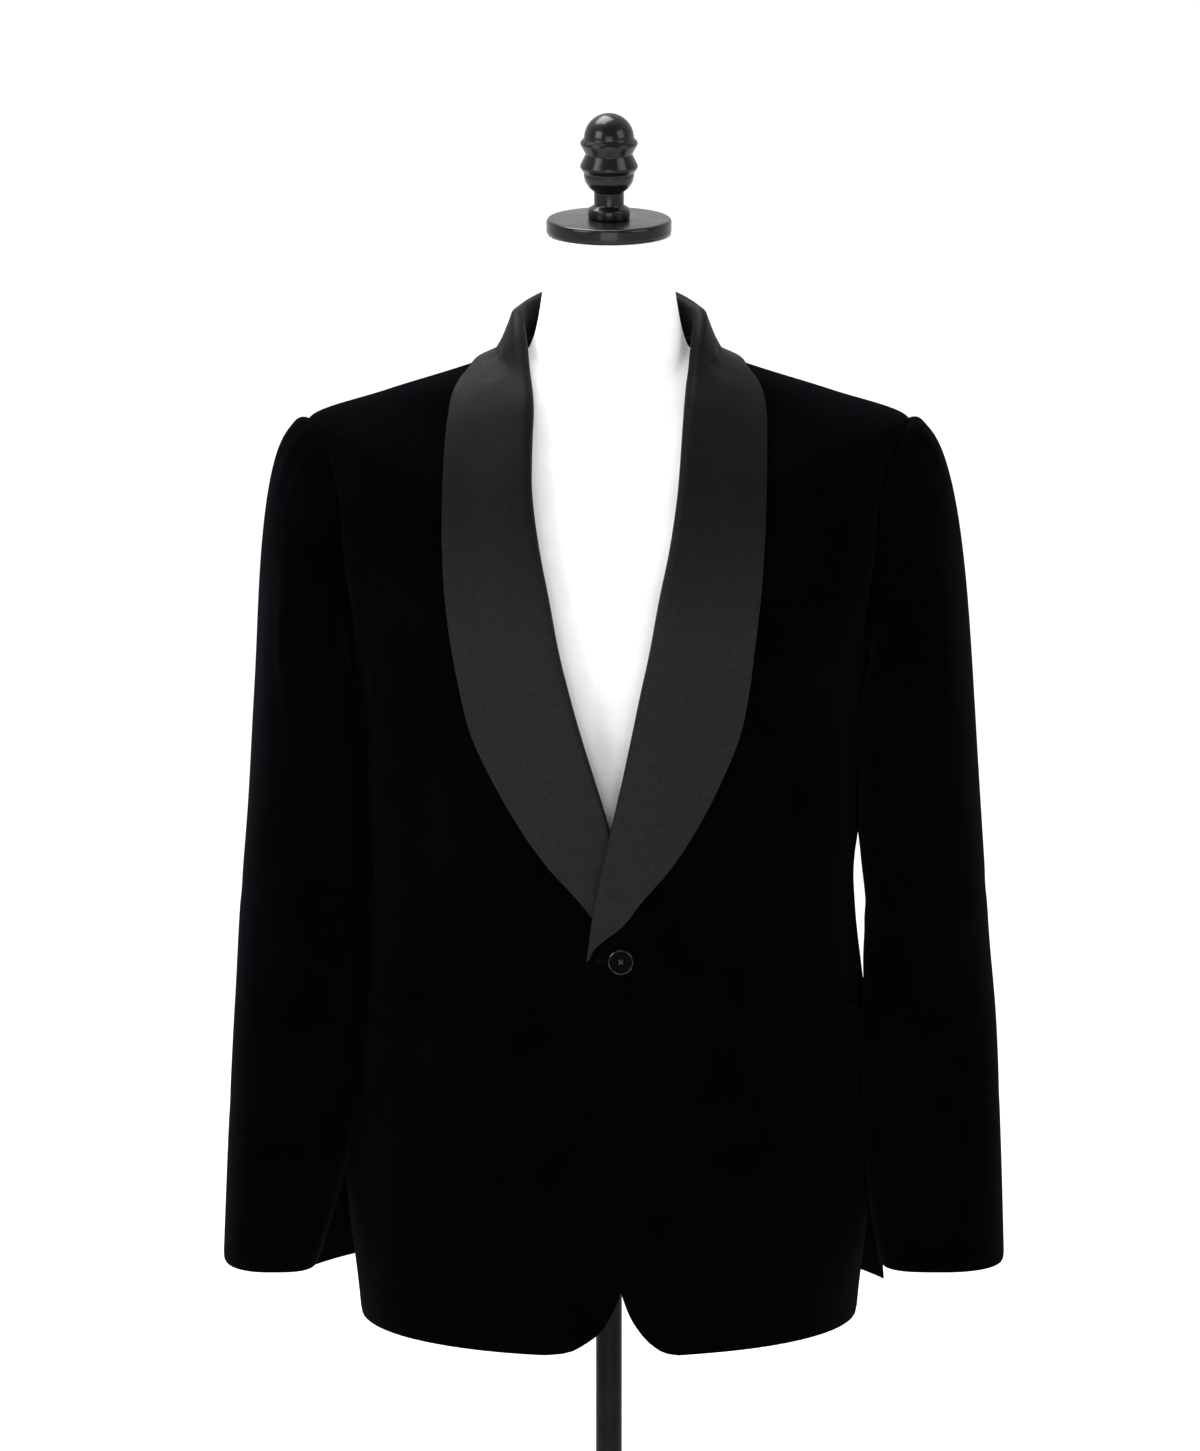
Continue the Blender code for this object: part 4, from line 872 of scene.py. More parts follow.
def make_velvet():
    """Black cotton velvet: almost no light back face on, a cool bloom where the pile is seen aslant."""
    material, tree, shader = new_material("black_velvet", Specular_IOR_Level=0.002, Sheen_Weight=0.0088,
                                          Sheen_Roughness=0.50, Sheen_Tint=(0.72, 0.78, 1.0, 1.0))
    place = add_node(tree, "TexCoord").outputs["Object"]
    crush = place_group(tree, UNEVEN_TONE, Vector=place, Scale=16.0)
    pile = place_group(tree, FINE_GRAIN, Vector=place, Scale=1500.0)
    colour = blend_colour(tree, crush.outputs["Mask"], (0.0003, 0.0003, 0.0004), (0.0007, 0.0007, 0.0009))
    surface(tree, shader, colour, (crush.outputs["Mask"], 0.96, 0.90), pile.outputs["Height"], 0.0004, 0.5)
    return material


def make_satin():
    """Matte ribbed silk: a dark grey with a fine cross rib and a faint mottle, painted darker and bluer
    higher up as painted shade on the upper lapels.
    """
    material, tree, shader = new_material("ribbed_satin", Specular_IOR_Level=0.070, Sheen_Weight=0.018,
                                          Sheen_Roughness=0.40, Sheen_Tint=(0.85, 0.90, 1.0, 1.0))
    place = add_node(tree, "TexCoord")
    mottle = place_group(tree, UNEVEN_TONE, Vector=place.outputs["Object"], Scale=420.0)
    rib = add_node(tree, "TexWave", {"bands_direction": "Y", "wave_profile": "SIN"},
                   Vector=place.outputs["UV"], Scale=330.0, Distortion=0.6, Detail=1.0)
    # Two colours of the same satin: the upper one is darker and bluer, painted shade where the lapels turn up
    # towards the shoulders.
    low = blend_colour(tree, mottle.outputs["Mask"], (0.0056, 0.0056, 0.0057), (0.0090, 0.0090, 0.0092))
    high = blend_colour(tree, mottle.outputs["Mask"], (0.0009, 0.0009, 0.0017), (0.0020, 0.0021, 0.0034))
    level = add_node(tree, "SeparateXYZ", Vector=place.outputs["Object"]).outputs["Z"]
    # Between 1.20 m and 1.34 m of height the colour fades into the painted shade colour.
    rise = add_node(tree, "MapRange", {"interpolation_type": "SMOOTHSTEP"}, Value=level, From_Min=1.20,
                    From_Max=1.34)
    colour = tree.nodes.new("ShaderNodeMix")
    colour.data_type = "RGBA"
    tree.links.new(rise.outputs["Result"], colour.inputs["Factor"])
    tree.links.new(low, colour.inputs[6])
    tree.links.new(high, colour.inputs[7])
    rough = (mottle.outputs["Mask"], 0.66, 0.56)
    surface(tree, shader, colour.outputs[2], rough, rib.outputs["Fac"], 0.00008, 0.5)
    return material


def make_jersey():
    """White knitted cover of the form: fine upright wales over a faint mottle."""
    material, tree, shader = new_material("white_jersey", Specular_IOR_Level=0.2, Sheen_Weight=0.2,
                                          Sheen_Roughness=0.6)
    place = add_node(tree, "TexCoord")
    tone = place_group(tree, UNEVEN_TONE, Vector=place.outputs["Object"], Scale=30.0)
    wales = add_node(tree, "TexWave", {"bands_direction": "X", "wave_profile": "SIN"},
                     Vector=place.outputs["UV"], Scale=260.0, Distortion=0.4, Detail=1.0)
    colour = blend_colour(tree, tone.outputs["Mask"], (0.80, 0.80, 0.79), (0.86, 0.86, 0.855))
    surface(tree, shader, colour, (tone.outputs["Mask"], 0.92, 0.80), wales.outputs["Fac"], 0.0001, 0.4)
    return material


def make_gloss(name, dark, light, rough, grain_scale, depth, **constants):
    """A hard black finish: uneven roughness and a fine grain in the coat."""
    material, tree, shader = new_material(name, **constants)
    place = add_node(tree, "TexCoord").outputs["Object"]
    tone = place_group(tree, UNEVEN_TONE, Vector=place, Scale=55.0)
    grain = place_group(tree, FINE_GRAIN, Vector=place, Scale=grain_scale)
    colour = blend_colour(tree, tone.outputs["Mask"], dark, light)
    surface(tree, shader, colour, (tone.outputs["Mask"], *rough), grain.outputs["Height"], depth, 0.3)
    return material


def make_button_look():
    """Black button: a dull face, and patches of glossy coat on the round of the rim."""
    material, tree, shader = new_material("black_button", Specular_IOR_Level=0.01, Coat_Roughness=0.07,
                                          Coat_IOR=1.6)
    place = add_node(tree, "TexCoord")
    tone = place_group(tree, UNEVEN_TONE, Vector=place.outputs["Object"], Scale=420.0)
    grain = place_group(tree, FINE_GRAIN, Vector=place.outputs["Object"], Scale=700.0)
    reach = add_node(tree, "SeparateXYZ", Vector=place.outputs["UV"]).outputs["X"]
    rim = add_node(tree, "MapRange", {"interpolation_type": "SMOOTHSTEP"}, Value=reach, From_Min=0.86,
                   From_Max=0.94)
    patches = place_group(tree, UNEVEN_TONE, Vector=place.outputs["Object"], Scale=190.0)
    gloss = add_node(tree, "Math", {"operation": "MULTIPLY"}, in0=rim.outputs["Result"],
                     in1=patches.outputs["Mask"])
    tree.links.new(gloss.outputs["Value"], shader.inputs["Coat Weight"])
    colour = blend_colour(tree, tone.outputs["Mask"], (0.0006, 0.0006, 0.0007), (0.0014, 0.0014, 0.0016))
    surface(tree, shader, colour, (tone.outputs["Mask"], 0.30, 0.42), grain.outputs["Height"], 0.00003, 0.3)
    return material


MATERIALS = {
    "velvet": make_velvet(),
    "satin": make_satin(),
    "jersey": make_jersey(),
    "button": make_button_look(),
    "cap": make_gloss("black_lacquer", (0.0025, 0.0025, 0.003), (0.005, 0.005, 0.0055), (0.26, 0.36), 240.0,
                      0.00005, Specular_IOR_Level=0.10, Coat_Weight=0.24, Coat_Roughness=0.12),
    "steel": make_gloss("black_powder_coat", (0.0048, 0.0040, 0.0043), (0.0082, 0.0068, 0.0072), (0.38, 0.50),
                        900.0, 0.00008, Specular_IOR_Level=0.05),
    "thread": make_gloss("black_thread", (0.0010, 0.0010, 0.0012), (0.0026, 0.0026, 0.0030), (0.60, 0.75),
                         2600.0, 0.00005, Specular_IOR_Level=0.02),
    # The button's thread is painted a lighter grey than the black thread elsewhere: painted highlight for
    # light caught on the strands.
    "button_thread": make_gloss("grey_thread", (0.020, 0.020, 0.021), (0.042, 0.042, 0.044), (0.45, 0.60),
                                2600.0, 0.00005, Specular_IOR_Level=0.20),
}


# Body of the jacket

def armhole_reach(height):
    """How many degrees the armhole reaches from the shoulder seam at a height."""
    share = np.clip(np.abs(height - ARMHOLE_MIDDLE) / ARMHOLE_HIGH, 0.0, 1.0)
    return ARMHOLE_REACH * (1.0 - share**ARMHOLE_ROUND) ** (1.0 / ARMHOLE_ROUND)


def armhole_floor(angle):
    """Height of the lower half of the armhole at an angle."""
    share = np.clip(np.abs(np.asarray(angle, dtype=float) - SHOULDER_SEAM) / ARMHOLE_REACH, 0.0, 1.0)
    return ARMHOLE_MIDDLE - ARMHOLE_HIGH * (1.0 - share**ARMHOLE_ROUND) ** (1.0 / ARMHOLE_ROUND)


FRONT_CORNER = float(armhole_floor(SIDE_SEAM))
BACK_CORNER = float(armhole_floor(BACK_SEAM))


def outer_edge(height, seam, corner, way):
    """Angle of a panel's outer edge: its seam up to the corner, then the armhole and the shoulder seam."""
    armhole = SHOULDER_SEAM + way * armhole_reach(height)
    above = np.where(height < ARMHOLE_TOP, armhole, SHOULDER_SEAM)
    return np.where(height <= corner, seam, above)


def by_ring(across, level, height):
    """Angle at each ring height of the line on the front through the places (across, level)."""
    angle, ring = on_figure(across, level)
    return np.interp(height, ring, angle)


def roll_back(side, level):
    """How far out a lapel's fold lies from its roll line, at a height."""
    left, right = smooth_table(ROLL_BACK, level)
    return left if side == "left" else right


def front_inner(side, height):
    """Angle of a front's inner edge, the front edge and then the roll line, at a ring height."""
    levels, left, right = np.asarray(FRONT_EDGE).T
    across = (left if side == "left" else right) + roll_back(side, levels)
    table = np.stack([np.arange(len(levels), dtype=float), levels, across], axis=-1)
    level, x = smooth_table(table, np.linspace(0.0, len(levels) - 1.0, 240))
    angle, ring = on_figure(x, level)
    return beside(np.interp(height, ring, angle), height, EDGE_INSIDE * ease(1.0, 1.12, height))


def armhole_rows(corner, count):
    """Ring heights up one side of the armhole, closer together where it turns over at the top."""
    first = np.arcsin(-signed_power((ARMHOLE_MIDDLE - corner) / ARMHOLE_HIGH, ARMHOLE_ROUND / 2))
    turn = np.linspace(first, np.pi / 2, count)
    return ARMHOLE_MIDDLE + ARMHOLE_HIGH * signed_power(np.sin(turn), 2 / ARMHOLE_ROUND)


def panel_rows(corner, low_rows, arm_rows, shoulder_rows):
    """Ring heights of a front or back: dense at the hem, even to the armhole, then up to the neckline."""
    hem = HEM + HEM_EDGE * np.array(HEM_SHARES)
    low = np.linspace(HEM + HEM_EDGE, corner, low_rows)
    arm = armhole_rows(corner, arm_rows)[1:]
    shoulder = ARMHOLE_TOP + (NECKLINE - ARMHOLE_TOP) * gathered(shoulder_rows, 0.5)[1:]
    return np.concatenate([hem, low, arm, shoulder])[:, None]


def make_front(side):
    """A front: columns gather at both edges and along the dart, which one column follows."""
    height = panel_rows(FRONT_CORNER, *FRONT_ROWS)
    inner = front_inner(side, height)
    outer = outer_edge(height, SIDE_SEAM, FRONT_CORNER, -1)
    levels = np.linspace(*DART_LEVELS)
    dart = by_ring(dart_across(side, levels), levels, height)
    share = np.clip((dart - inner) / (outer - inner), *DART_SHARE)
    first, second = (gathered(count)[None, :] for count in FRONT_COLUMNS)
    across = np.concatenate([share * first, share + (1.0 - share) * second[:, 1:]], axis=1)
    angle = inner + (outer - inner) * across
    height = np.broadcast_to(height, angle.shape)
    base = figure(angle, height)
    relief = lap_lift(side, base) + body_relief(side, angle, height, base)
    velvet_panel("front", side, base, relief, outward(figure, angle, height))


def make_side(side):
    """A side body, from the hem up to the armhole, with its underlap at the vent."""
    share = gathered(SIDE_COLUMNS)[None, :]
    top = armhole_floor(SIDE_SEAM + (BACK_SEAM - SIDE_SEAM) * share)
    height = HEM + (top - HEM) * gathered(SIDE_ROWS, 0.8)[:, None]
    below = 1.0 - ease(VENT_TOP - 0.03, VENT_TOP - 0.01, height)
    angle = SIDE_SEAM + (BACK_SEAM + VENT_UNDERLAP * below - SIDE_SEAM) * share
    drop = UNDERLAP_DROP * (1.0 - ease(VENT_TOP, VENT_TOP + 0.02, height)) * ease(0.35, 0.75, share)
    base = figure(angle, height)
    relief = body_relief(side, angle, height, base) * (1.0 - below * ease(0.5, 0.8, share)) - drop
    velvet_panel("side", side, base, relief, outward(figure, angle, height))


def tail_share(angle, height):
    """0 at the vent's top and the centre back, 1 at the vent's edge on the hem: as height, as angle."""
    low = np.clip((VENT_TOP - height) / (VENT_TOP - HEM), 0.0, 1.0)
    near = np.clip((180.0 - angle) / (180.0 - BACK_SEAM), 0.0, 1.0)
    return low, near


def tail_lift(side, angle, height):
    """How far a back stands out below the vent's top, most at the vent's edge."""
    low, near = tail_share(angle, height)
    return TAIL_FLARE[side] * low**1.2 * near**1.4


def tail_height(side, angle, height):
    """Ring height of a back's row, drawn up towards the vent's edge."""
    low, near = tail_share(angle, height)
    return height + TAIL_RISE[side] * low**1.5 * near


def make_back(side):
    """A back, from the centre-back seam to the vent, armhole and shoulder seam."""
    height = panel_rows(BACK_CORNER, *BACK_ROWS)
    outer = outer_edge(height, BACK_SEAM, BACK_CORNER, 1)
    angle = outer + (180.0 - outer) * gathered(BACK_COLUMNS)[None, :]
    flat_height = np.broadcast_to(height, angle.shape)
    height = tail_height(side, angle, flat_height)
    base = figure(angle, height)
    relief = tail_lift(side, angle, flat_height) + body_relief(side, angle, flat_height, base)
    normal = outward(figure, angle, height)
    base[:, -1, 0] = 0.0
    normal[:, -1, 0] = 0.0
    velvet_panel("back", side, base, relief, normal)


# Shawl collar

def collar_stations(side):
    """One row for each section of the shawl collar: fold and edge places, and the share bridged."""
    level, roll, left_edge, right_edge = np.asarray(LAPEL).T
    edge = left_edge if side == "left" else right_edge
    fold_angle, fold_height = on_figure(roll + roll_back(side, level), level)
    edge_angle, edge_height = on_figure(edge, level)
    lapel = np.stack([fold_angle, fold_height, edge_angle, edge_height, np.zeros(len(level))], axis=-1)
    roll, level, left_edge, right_edge, edge_level, bridge = np.asarray(GORGE).T
    fold_angle, fold_height = on_figure(roll + roll_back(side, level), level)
    edge_angle, edge_height = on_figure(left_edge if side == "left" else right_edge, edge_level)
    gorge = np.stack([fold_angle, fold_height, edge_angle, edge_height, bridge], axis=-1)
    return np.concatenate([lapel, gorge, np.asarray(COLLAR)])


def flowing_rows(grid, run, at):
    """A grid's rows read at `at` along its run, by curves whose slopes fit a parabola through three rows."""
    step = np.diff(run)[:, None, None]
    secants = np.diff(grid, axis=0) / step
    middle = (secants[:-1] * step[1:] + secants[1:] * step[:-1]) / (step[1:] + step[:-1])
    slopes = np.concatenate([secants[:1], middle, secants[-1:]])
    row = np.clip(np.searchsorted(run, at, side="right") - 1, 0, len(run) - 2)
    wide = step[row]
    t = ((at - run[row])[:, None, None]) / wide
    start = (2 * t**3 - 3 * t**2 + 1) * grid[row] + (t**3 - 2 * t**2 + t) * wide * slopes[row]
    return start + (3 * t**2 - 2 * t**3) * grid[row + 1] + (t**3 - t**2) * wide * slopes[row + 1]


def make_collar(side):
    """A half of the shawl collar: a leg inside, a round fold, and the fall that lies on the front."""
    rows = collar_stations(side)
    fold_angle, fold_height, edge_angle, edge_height, bridge = rows.T[:, :, None]
    fold = figure(fold_angle, fold_height)
    edge = figure(edge_angle, edge_height)
    width = np.linalg.norm(edge - fold, axis=-1)
    level = fold[..., 2]
    (roll,) = smooth_table(ROLL, level)
    neck = ease(*LEG_RISE, level)
    leg = (LEG_FRONT + (LEG_NECK - LEG_FRONT) * neck) * ease(0.0, 0.02, width - 0.002)
    leg = np.minimum(leg + LEG_LEAST, 0.6 * width)
    (room,) = smooth_table(COLLAR_AIR, level)
    if side == "left":
        room = room + WELT_ROOM * bell(level - WELT_LEVEL, WELT_SPREAD)
    (leg_air,) = smooth_table(LEG_AIR, level)
    inside = VELVET + leg_air
    radius = (room + roll + inside) / 2

    def place(share, lift):
        angle = fold_angle + (edge_angle - fold_angle) * share
        height = fold_height + (edge_height - fold_height) * share
        return panel_point(side, angle, height, lift * np.ones(angle.shape))

    leg_share = leg / width * (1.0 - gathered(12, 0.5)[None, :] * 0.92)
    leg_under = place(leg_share, -inside)
    leg_over = place(leg_share, -inside - SATIN)

    still = np.zeros(fold_angle.shape)
    top = place(still, room + roll)
    bottom = place(still, -inside)
    axis = (top + bottom) / 2
    up = unit(top - bottom)
    away = place(still, 0.0) - place(still + 0.02, 0.0)
    away = unit(away - np.sum(away * up, axis=-1, keepdims=True) * up)
    turn = np.radians(np.linspace(-90.0, 90.0, 15))[None, :, None]
    slim = TIP[2] + (1.0 - TIP[2]) * ease(TIP[0], TIP[1], level)
    spoke = slim[..., None] * np.cos(turn) * away + np.sin(turn) * up
    fold_under = axis + radius[..., None] * spoke
    fold_over = axis + (radius + SATIN)[..., None] * spoke

    share = np.concatenate([np.linspace(0.03, 0.90, 34), [0.93, 0.955, 0.975, 0.988, 0.996, 1.0]])[None, :]
    lift = room + roll * (1.0 - ease(0.0, 0.75, share))
    follow_under = place(share, lift)
    follow_over = place(share, lift + SATIN)
    straight_under = top + (follow_under[:, -1:] - top) * share[..., None]
    straight_over = fold_over[:, -1:] + (follow_over[:, -1:] - fold_over[:, -1:]) * share[..., None]
    mix = bridge[..., None]
    fall_under = follow_under + (straight_under - follow_under) * mix
    fall_over = follow_over + (straight_over - follow_over) * mix

    over = np.concatenate([leg_over, fold_over, fall_over], axis=1)
    under = np.concatenate([leg_under, fold_under, fall_under], axis=1)
    run = (lengths(fold, 0) + lengths(edge, 0)).ravel() / 2
    at = run[-1] * gathered(COLLAR_ROWS, 0.6)
    over, under = flowing_rows(over, run, at), flowing_rows(under, run, at)
    thick = over - under
    inward = rounded(from_edges((over + under) / 2), COLLAR_ROUND)[..., None] * unit(thick)
    over, under = over - inward, under + inward
    over[-1, :, 0] = 0.0
    under[-1, :, 0] = 0.0
    cloth_wall(f"satin_collar_{side}", f"shawl_collar_{side}", over, under, "satin", side)


# Sleeves

def armhole_point(turn):
    """Where the sleeve is sewn on: 0 at the shoulder, 90 in front, 180 under the arm."""
    round_arm = np.radians(turn)
    power = 2.0 / ARMHOLE_ROUND
    angle = SHOULDER_SEAM - ARMHOLE_REACH * signed_power(np.sin(round_arm), power)
    rise = ARMHOLE_HIGH * signed_power(np.cos(round_arm), power)
    return figure(angle, ARMHOLE_MIDDLE + rise)


def body_side(depth, level):
    """How far out the side of the body reaches at a depth and a level."""
    _, _, width, chest, spine, square = smooth_table(FIGURE, level)
    share = np.clip(np.abs(depth) / np.where(depth < 0.0, chest, spine), 0.0, 0.98)
    return width * (1.0 - share**square) ** (1.0 / square)


def arm_point(side, turn, level):
    """A point of the sleeve below the armhole, a squared oval from the side's table."""
    rows = np.asarray(SLEEVES[side])[::-1]
    inner, outer, front, back = smooth_table(rows, level)
    round_arm = np.radians(turn)
    square = np.where(np.cos(round_arm) < 0.0, SLEEVE_SQUARE["inner"], SLEEVE_SQUARE["outer"])
    x = (inner + outer) / 2 + (outer - inner) / 2 * signed_power(np.cos(round_arm), square)
    y = (front + back) / 2 - (back - front) / 2 * signed_power(np.sin(round_arm), square)
    return np.stack([x, y, level * np.ones(x.shape)], axis=-1)


def sleeve_point(side, turn, down):
    """The sleeve: down runs 0 to 1 from the armhole to the upper arm, then 1 to 2 to the cuff."""
    turn, down = np.broadcast_arrays(np.asarray(turn, dtype=float), np.asarray(down, dtype=float))
    top, cuff = SLEEVES[side][0][0], SLEEVES[side][-1][0]
    level = top + (cuff - top) * np.clip(down - 1.0, 0.0, 1.0)
    arm = arm_point(side, turn, level)

    t = np.minimum(down, 1.0)[..., None]
    round_arm = np.radians(turn)
    spread = -LEAVE_SPREAD * np.sin(round_arm)
    fall = LEAVE_RISE - LEAVE_FALL * (1.0 - np.cos(round_arm))
    leave = np.stack([np.ones(turn.shape), spread, fall], axis=-1)
    leave = leave * (HEAD_PULL[0] + HEAD_PULL[1] * np.cos(round_arm))[..., None]
    upper_arm = arm_point(side, turn, np.full(turn.shape, top))
    arrive = (arm_point(side, turn, np.full(turn.shape, top - ARM_STEP)) - upper_arm) / ARM_STEP
    arrive = arrive * (ARM_PULL[0] + ARM_PULL[1] * np.cos(round_arm))[..., None]
    start = armhole_point(turn)
    head = ((2 * t**3 - 3 * t**2 + 1) * start + (t**3 - 2 * t**2 + t) * leave
            + (3 * t**2 - 2 * t**3) * upper_arm + (t**3 - t**2) * arrive)
    sleeve = np.where(down[..., None] < 1.0, head, arm)
    over = sleeve[..., 0] - body_side(sleeve[..., 1], sleeve[..., 2]) - SLEEVE_CLEAR
    pressed = (np.sqrt(over**2 + SLEEVE_PRESS**2) - over) / 2
    sleeve[..., 0] += pressed * ease(0.0, 0.5, down)
    return sleeve


def sleeve_surface(side, turn, down):
    """The sleeve with its folds pressed in."""
    base = sleeve_point(side, turn, down)
    middle = base.copy()
    middle[..., 0] = (SLEEVES[side][2][1] + SLEEVES[side][2][2]) / 2
    middle[..., 1] = 0.0
    toward = unit(middle - base)
    depth = np.zeros(base.shape[:-1])
    for level, at_turn, deep, high, wide in SLEEVE_FOLDS[side]:
        apart = (np.asarray(turn) - at_turn + 180.0) % 360.0 - 180.0
        tilt = level + 0.25 * high * apart / wide
        depth = depth + deep * bell(base[..., 2] - tilt, high) * bell(apart, wide)
    return base + depth[..., None] * toward


def sleeve_relief(side, turn, grid):
    """What is pressed into a sleeve: the roped head, the puckers under it and the long creases."""
    down = lengths(grid, 0)
    from_seam = down[-1:] - down
    round_head = 1.0 - ease(ROPE["round_arm"], ROPE["round_arm"] + 30.0, np.abs(turn))
    relief = ROPE["lift"] * bell(from_seam - ROPE["from_seam"], ROPE["width"]) * round_head
    below = bell(from_seam - PUCKER_FROM_SEAM, PUCKER_LENGTH)
    for at_turn, wide, out in PUCKERS[side]:
        relief = relief + out * bell(turn - at_turn, wide) * below
    return relief + creased(turn, grid[..., 2], SLEEVE_CREASES[side], SLEEVE_SPREAD)


def make_sleeve_piece(piece, side, first, last, columns):
    """A sleeve piece between two turns round the arm, from the armhole to the cuff."""
    head = np.concatenate([[0.0, 0.002, 0.006, 0.012, 0.02], np.linspace(0.03, 0.985, SLEEVE_ROWS[0])])
    arm = 1.0 + gathered(SLEEVE_ROWS[1], 0.6)
    arm = arm[arm > 1.0]
    rows = np.concatenate([head, [1.0], arm])[::-1, None]
    turn, rows = np.broadcast_arrays(last + (first - last) * gathered(columns)[None, :], rows)
    tuck = SLEEVE_TUCK / (HEAD_PULL[0] + HEAD_PULL[1] * np.cos(np.radians(turn)))
    down = rows - tuck * np.clip(1.0 - rows, 0.0, 1.0)
    grid = sleeve_surface(side, turn, down)
    velvet_panel(piece, side, grid, sleeve_relief(side, turn, grid), grid_normal(grid))


def make_sleeves(side):
    """The outer and inner pieces of a sleeve."""
    make_sleeve_piece("top_sleeve", side, SLEEVE_BACK_SEAM - 360.0, SLEEVE_FRONT_SEAM,
                      SLEEVE_COLUMNS["top"])
    make_sleeve_piece("under_sleeve", side, SLEEVE_FRONT_SEAM, SLEEVE_BACK_SEAM,
                      SLEEVE_COLUMNS["under"])


# Pockets, button, sewing

def patch(piece, node, across, low, high, thick, plump, side, rows):
    """A strip on a front: columns across, its lower and upper edge at each, swelled by half a sine."""
    up = gathered(rows, 0.6)[:, None]
    angle, height = on_figure(across[None, :] + 0 * up, low + (high - low) * up)
    swell = plump * np.sin(np.pi * up) ** 0.6 + 0 * angle
    middle = front_point(side, angle, height, PATCH_AIR + 0 * angle)
    edge = rounded(from_edges(middle), PATCH_ROUND)
    over = front_point(side, angle, height, PATCH_AIR + thick + swell - edge)
    under = front_point(side, angle, height, PATCH_AIR + 0 * angle)
    cloth_wall(f"velvet_{piece}", node, over, under, "velvet", side)


def make_chest_welt():
    """The welt of the chest pocket, its front end under the lapel."""
    inner, outer = WELT_CORNERS["inner"], WELT_CORNERS["outer"]
    columns, rows = WELT_GRID
    across, low, high = (inner[k] + (outer[k] - inner[k]) * gathered(columns, 0.8) for k in range(3))
    patch("chest_welt", "chest_welt", across, low, high, VELVET, WELT_PLUMP, "left", rows)


def make_hip_pocket(side):
    """The two jets of a hip pocket, one above the other, each a plump fold."""
    columns, rows = JET_GRID
    share = gathered(columns, 0.8)
    across = JET_INNER[0] + (JET_OUTER[0] - JET_INNER[0]) * np.sin(share * np.pi / 2)
    middle = JET_INNER[1] + (JET_OUTER[1] - JET_INNER[1]) * share
    half = STAND_GAP / 2
    for piece, low, high in (("upper", half, JET_HEIGHT), ("lower", -JET_HEIGHT, -half)):
        patch(f"jet_{piece}_{side}", f"hip_jet_{piece}_{side}", across, middle + low, middle + high,
              JET_THICK, JET_PLUMP, side, rows)


def button_seat():
    """Where the button lies, and its three directions: across, up and out."""
    angle, height = on_figure(*BUTTON_AT)
    seat = panel_point("left", angle, height, BUTTON_LIFT + np.zeros(()))
    out = outward(figure, angle, height)
    across = unit(np.cross(np.array([0.0, 0.0, 1.0]), out))
    return seat, across, np.cross(out, across), out


def on_button(local):
    """Points given as (across, up, out) on the button, in the part's frame."""
    seat, across, up, out = button_seat()
    return seat + local[..., :1] * across + local[..., 1:2] * up + local[..., 2:] * out


def make_button():
    """The four-hole button: a dished face with a raised round rim, the holes sunk as steep wells."""
    radii = np.concatenate([np.linspace(0.0, BUTTON_RADIUS * 0.5, 46)[1:],
                            np.linspace(BUTTON_RADIUS * 0.5, BUTTON_RADIUS, 40)[1:]])
    turn = np.arange(BUTTON_STEPS) * 2 * np.pi / BUTTON_STEPS
    r, a = np.meshgrid(radii, turn, indexing="ij")
    rim_in = BUTTON_RADIUS - BUTTON_RIM
    face = BUTTON_THICK - BUTTON_DISH * (1.0 - ease(rim_in * 0.86, rim_in * 1.08, r))
    outside = np.clip((r - (BUTTON_RADIUS - BUTTON_RIM * 0.5)) / (BUTTON_RIM * 0.5), 0.0, 1.0)
    face = face - BUTTON_THICK * 0.45 * (1.0 - np.sqrt(1.0 - outside**2))
    x, y = r * np.cos(a), r * np.sin(a)
    for number in range(4):
        hole = np.pi * (0.25 + number / 2)
        reach = BUTTON_HOLE_OUT * np.sqrt(2.0)
        apart = np.hypot(x - reach * np.cos(hole), y - reach * np.sin(hole))
        wall = ease(BUTTON_HOLE_RADIUS * 0.75, BUTTON_HOLE_RADIUS, apart)
        face = face - (BUTTON_THICK - BUTTON_WELL[0]) * (1.0 - wall)
    top = np.stack([x, y, np.maximum(face, BUTTON_WELL[1])], axis=-1)
    foot = radii[-1] * 0.97
    under = np.stack([foot * np.cos(turn), foot * np.sin(turn), 0 * turn], axis=-1)[None]
    rings = np.concatenate([top, under])
    local = np.concatenate([rings.reshape(-1, 3), [[0.0, 0.0, BUTTON_THICK - BUTTON_DISH], [0.0, 0.0, 0.0]]])
    faces = ring_faces(len(rings), BUTTON_STEPS, len(local) - 2, len(local) - 1)
    reach = np.concatenate([np.repeat(radii, len(turn)), np.full(len(turn), radii[-1]), [0.0, 0.0]])
    around = np.concatenate([np.tile(turn, len(rings)), [0.0, 0.0]])
    uv = np.stack([reach / BUTTON_RADIUS, around / (2 * np.pi)], axis=-1)
    thing = make_piece("front_button", on_button(local), faces, MATERIALS["button"], uv, sharp=50.0)
    dress(thing, "button", "button")


def make_button_thread():
    """The cross of thread through the button's holes, three strands each way."""
    starts, ends = [], []
    top = BUTTON_THICK - BUTTON_DISH
    for way in (1.0, -1.0):
        for strand in (-1.0, 0.0, 1.0):
            shift = strand * THREAD * 1.7
            low = np.array([-BUTTON_HOLE_OUT, -BUTTON_HOLE_OUT * way, top - 0.0008])
            high = np.array([BUTTON_HOLE_OUT, BUTTON_HOLE_OUT * way, top - 0.0008])
            side = np.array([-way, 1.0, 0.0]) / np.sqrt(2.0) * shift
            starts.append(low + side)
            ends.append(high + side)
    starts, ends = on_button(np.array(starts)), on_button(np.array(ends))
    thread_run("button_thread", starts, ends, THREAD, MATERIALS["button_thread"], "button",
               button_seat()[3] * 0.0012)


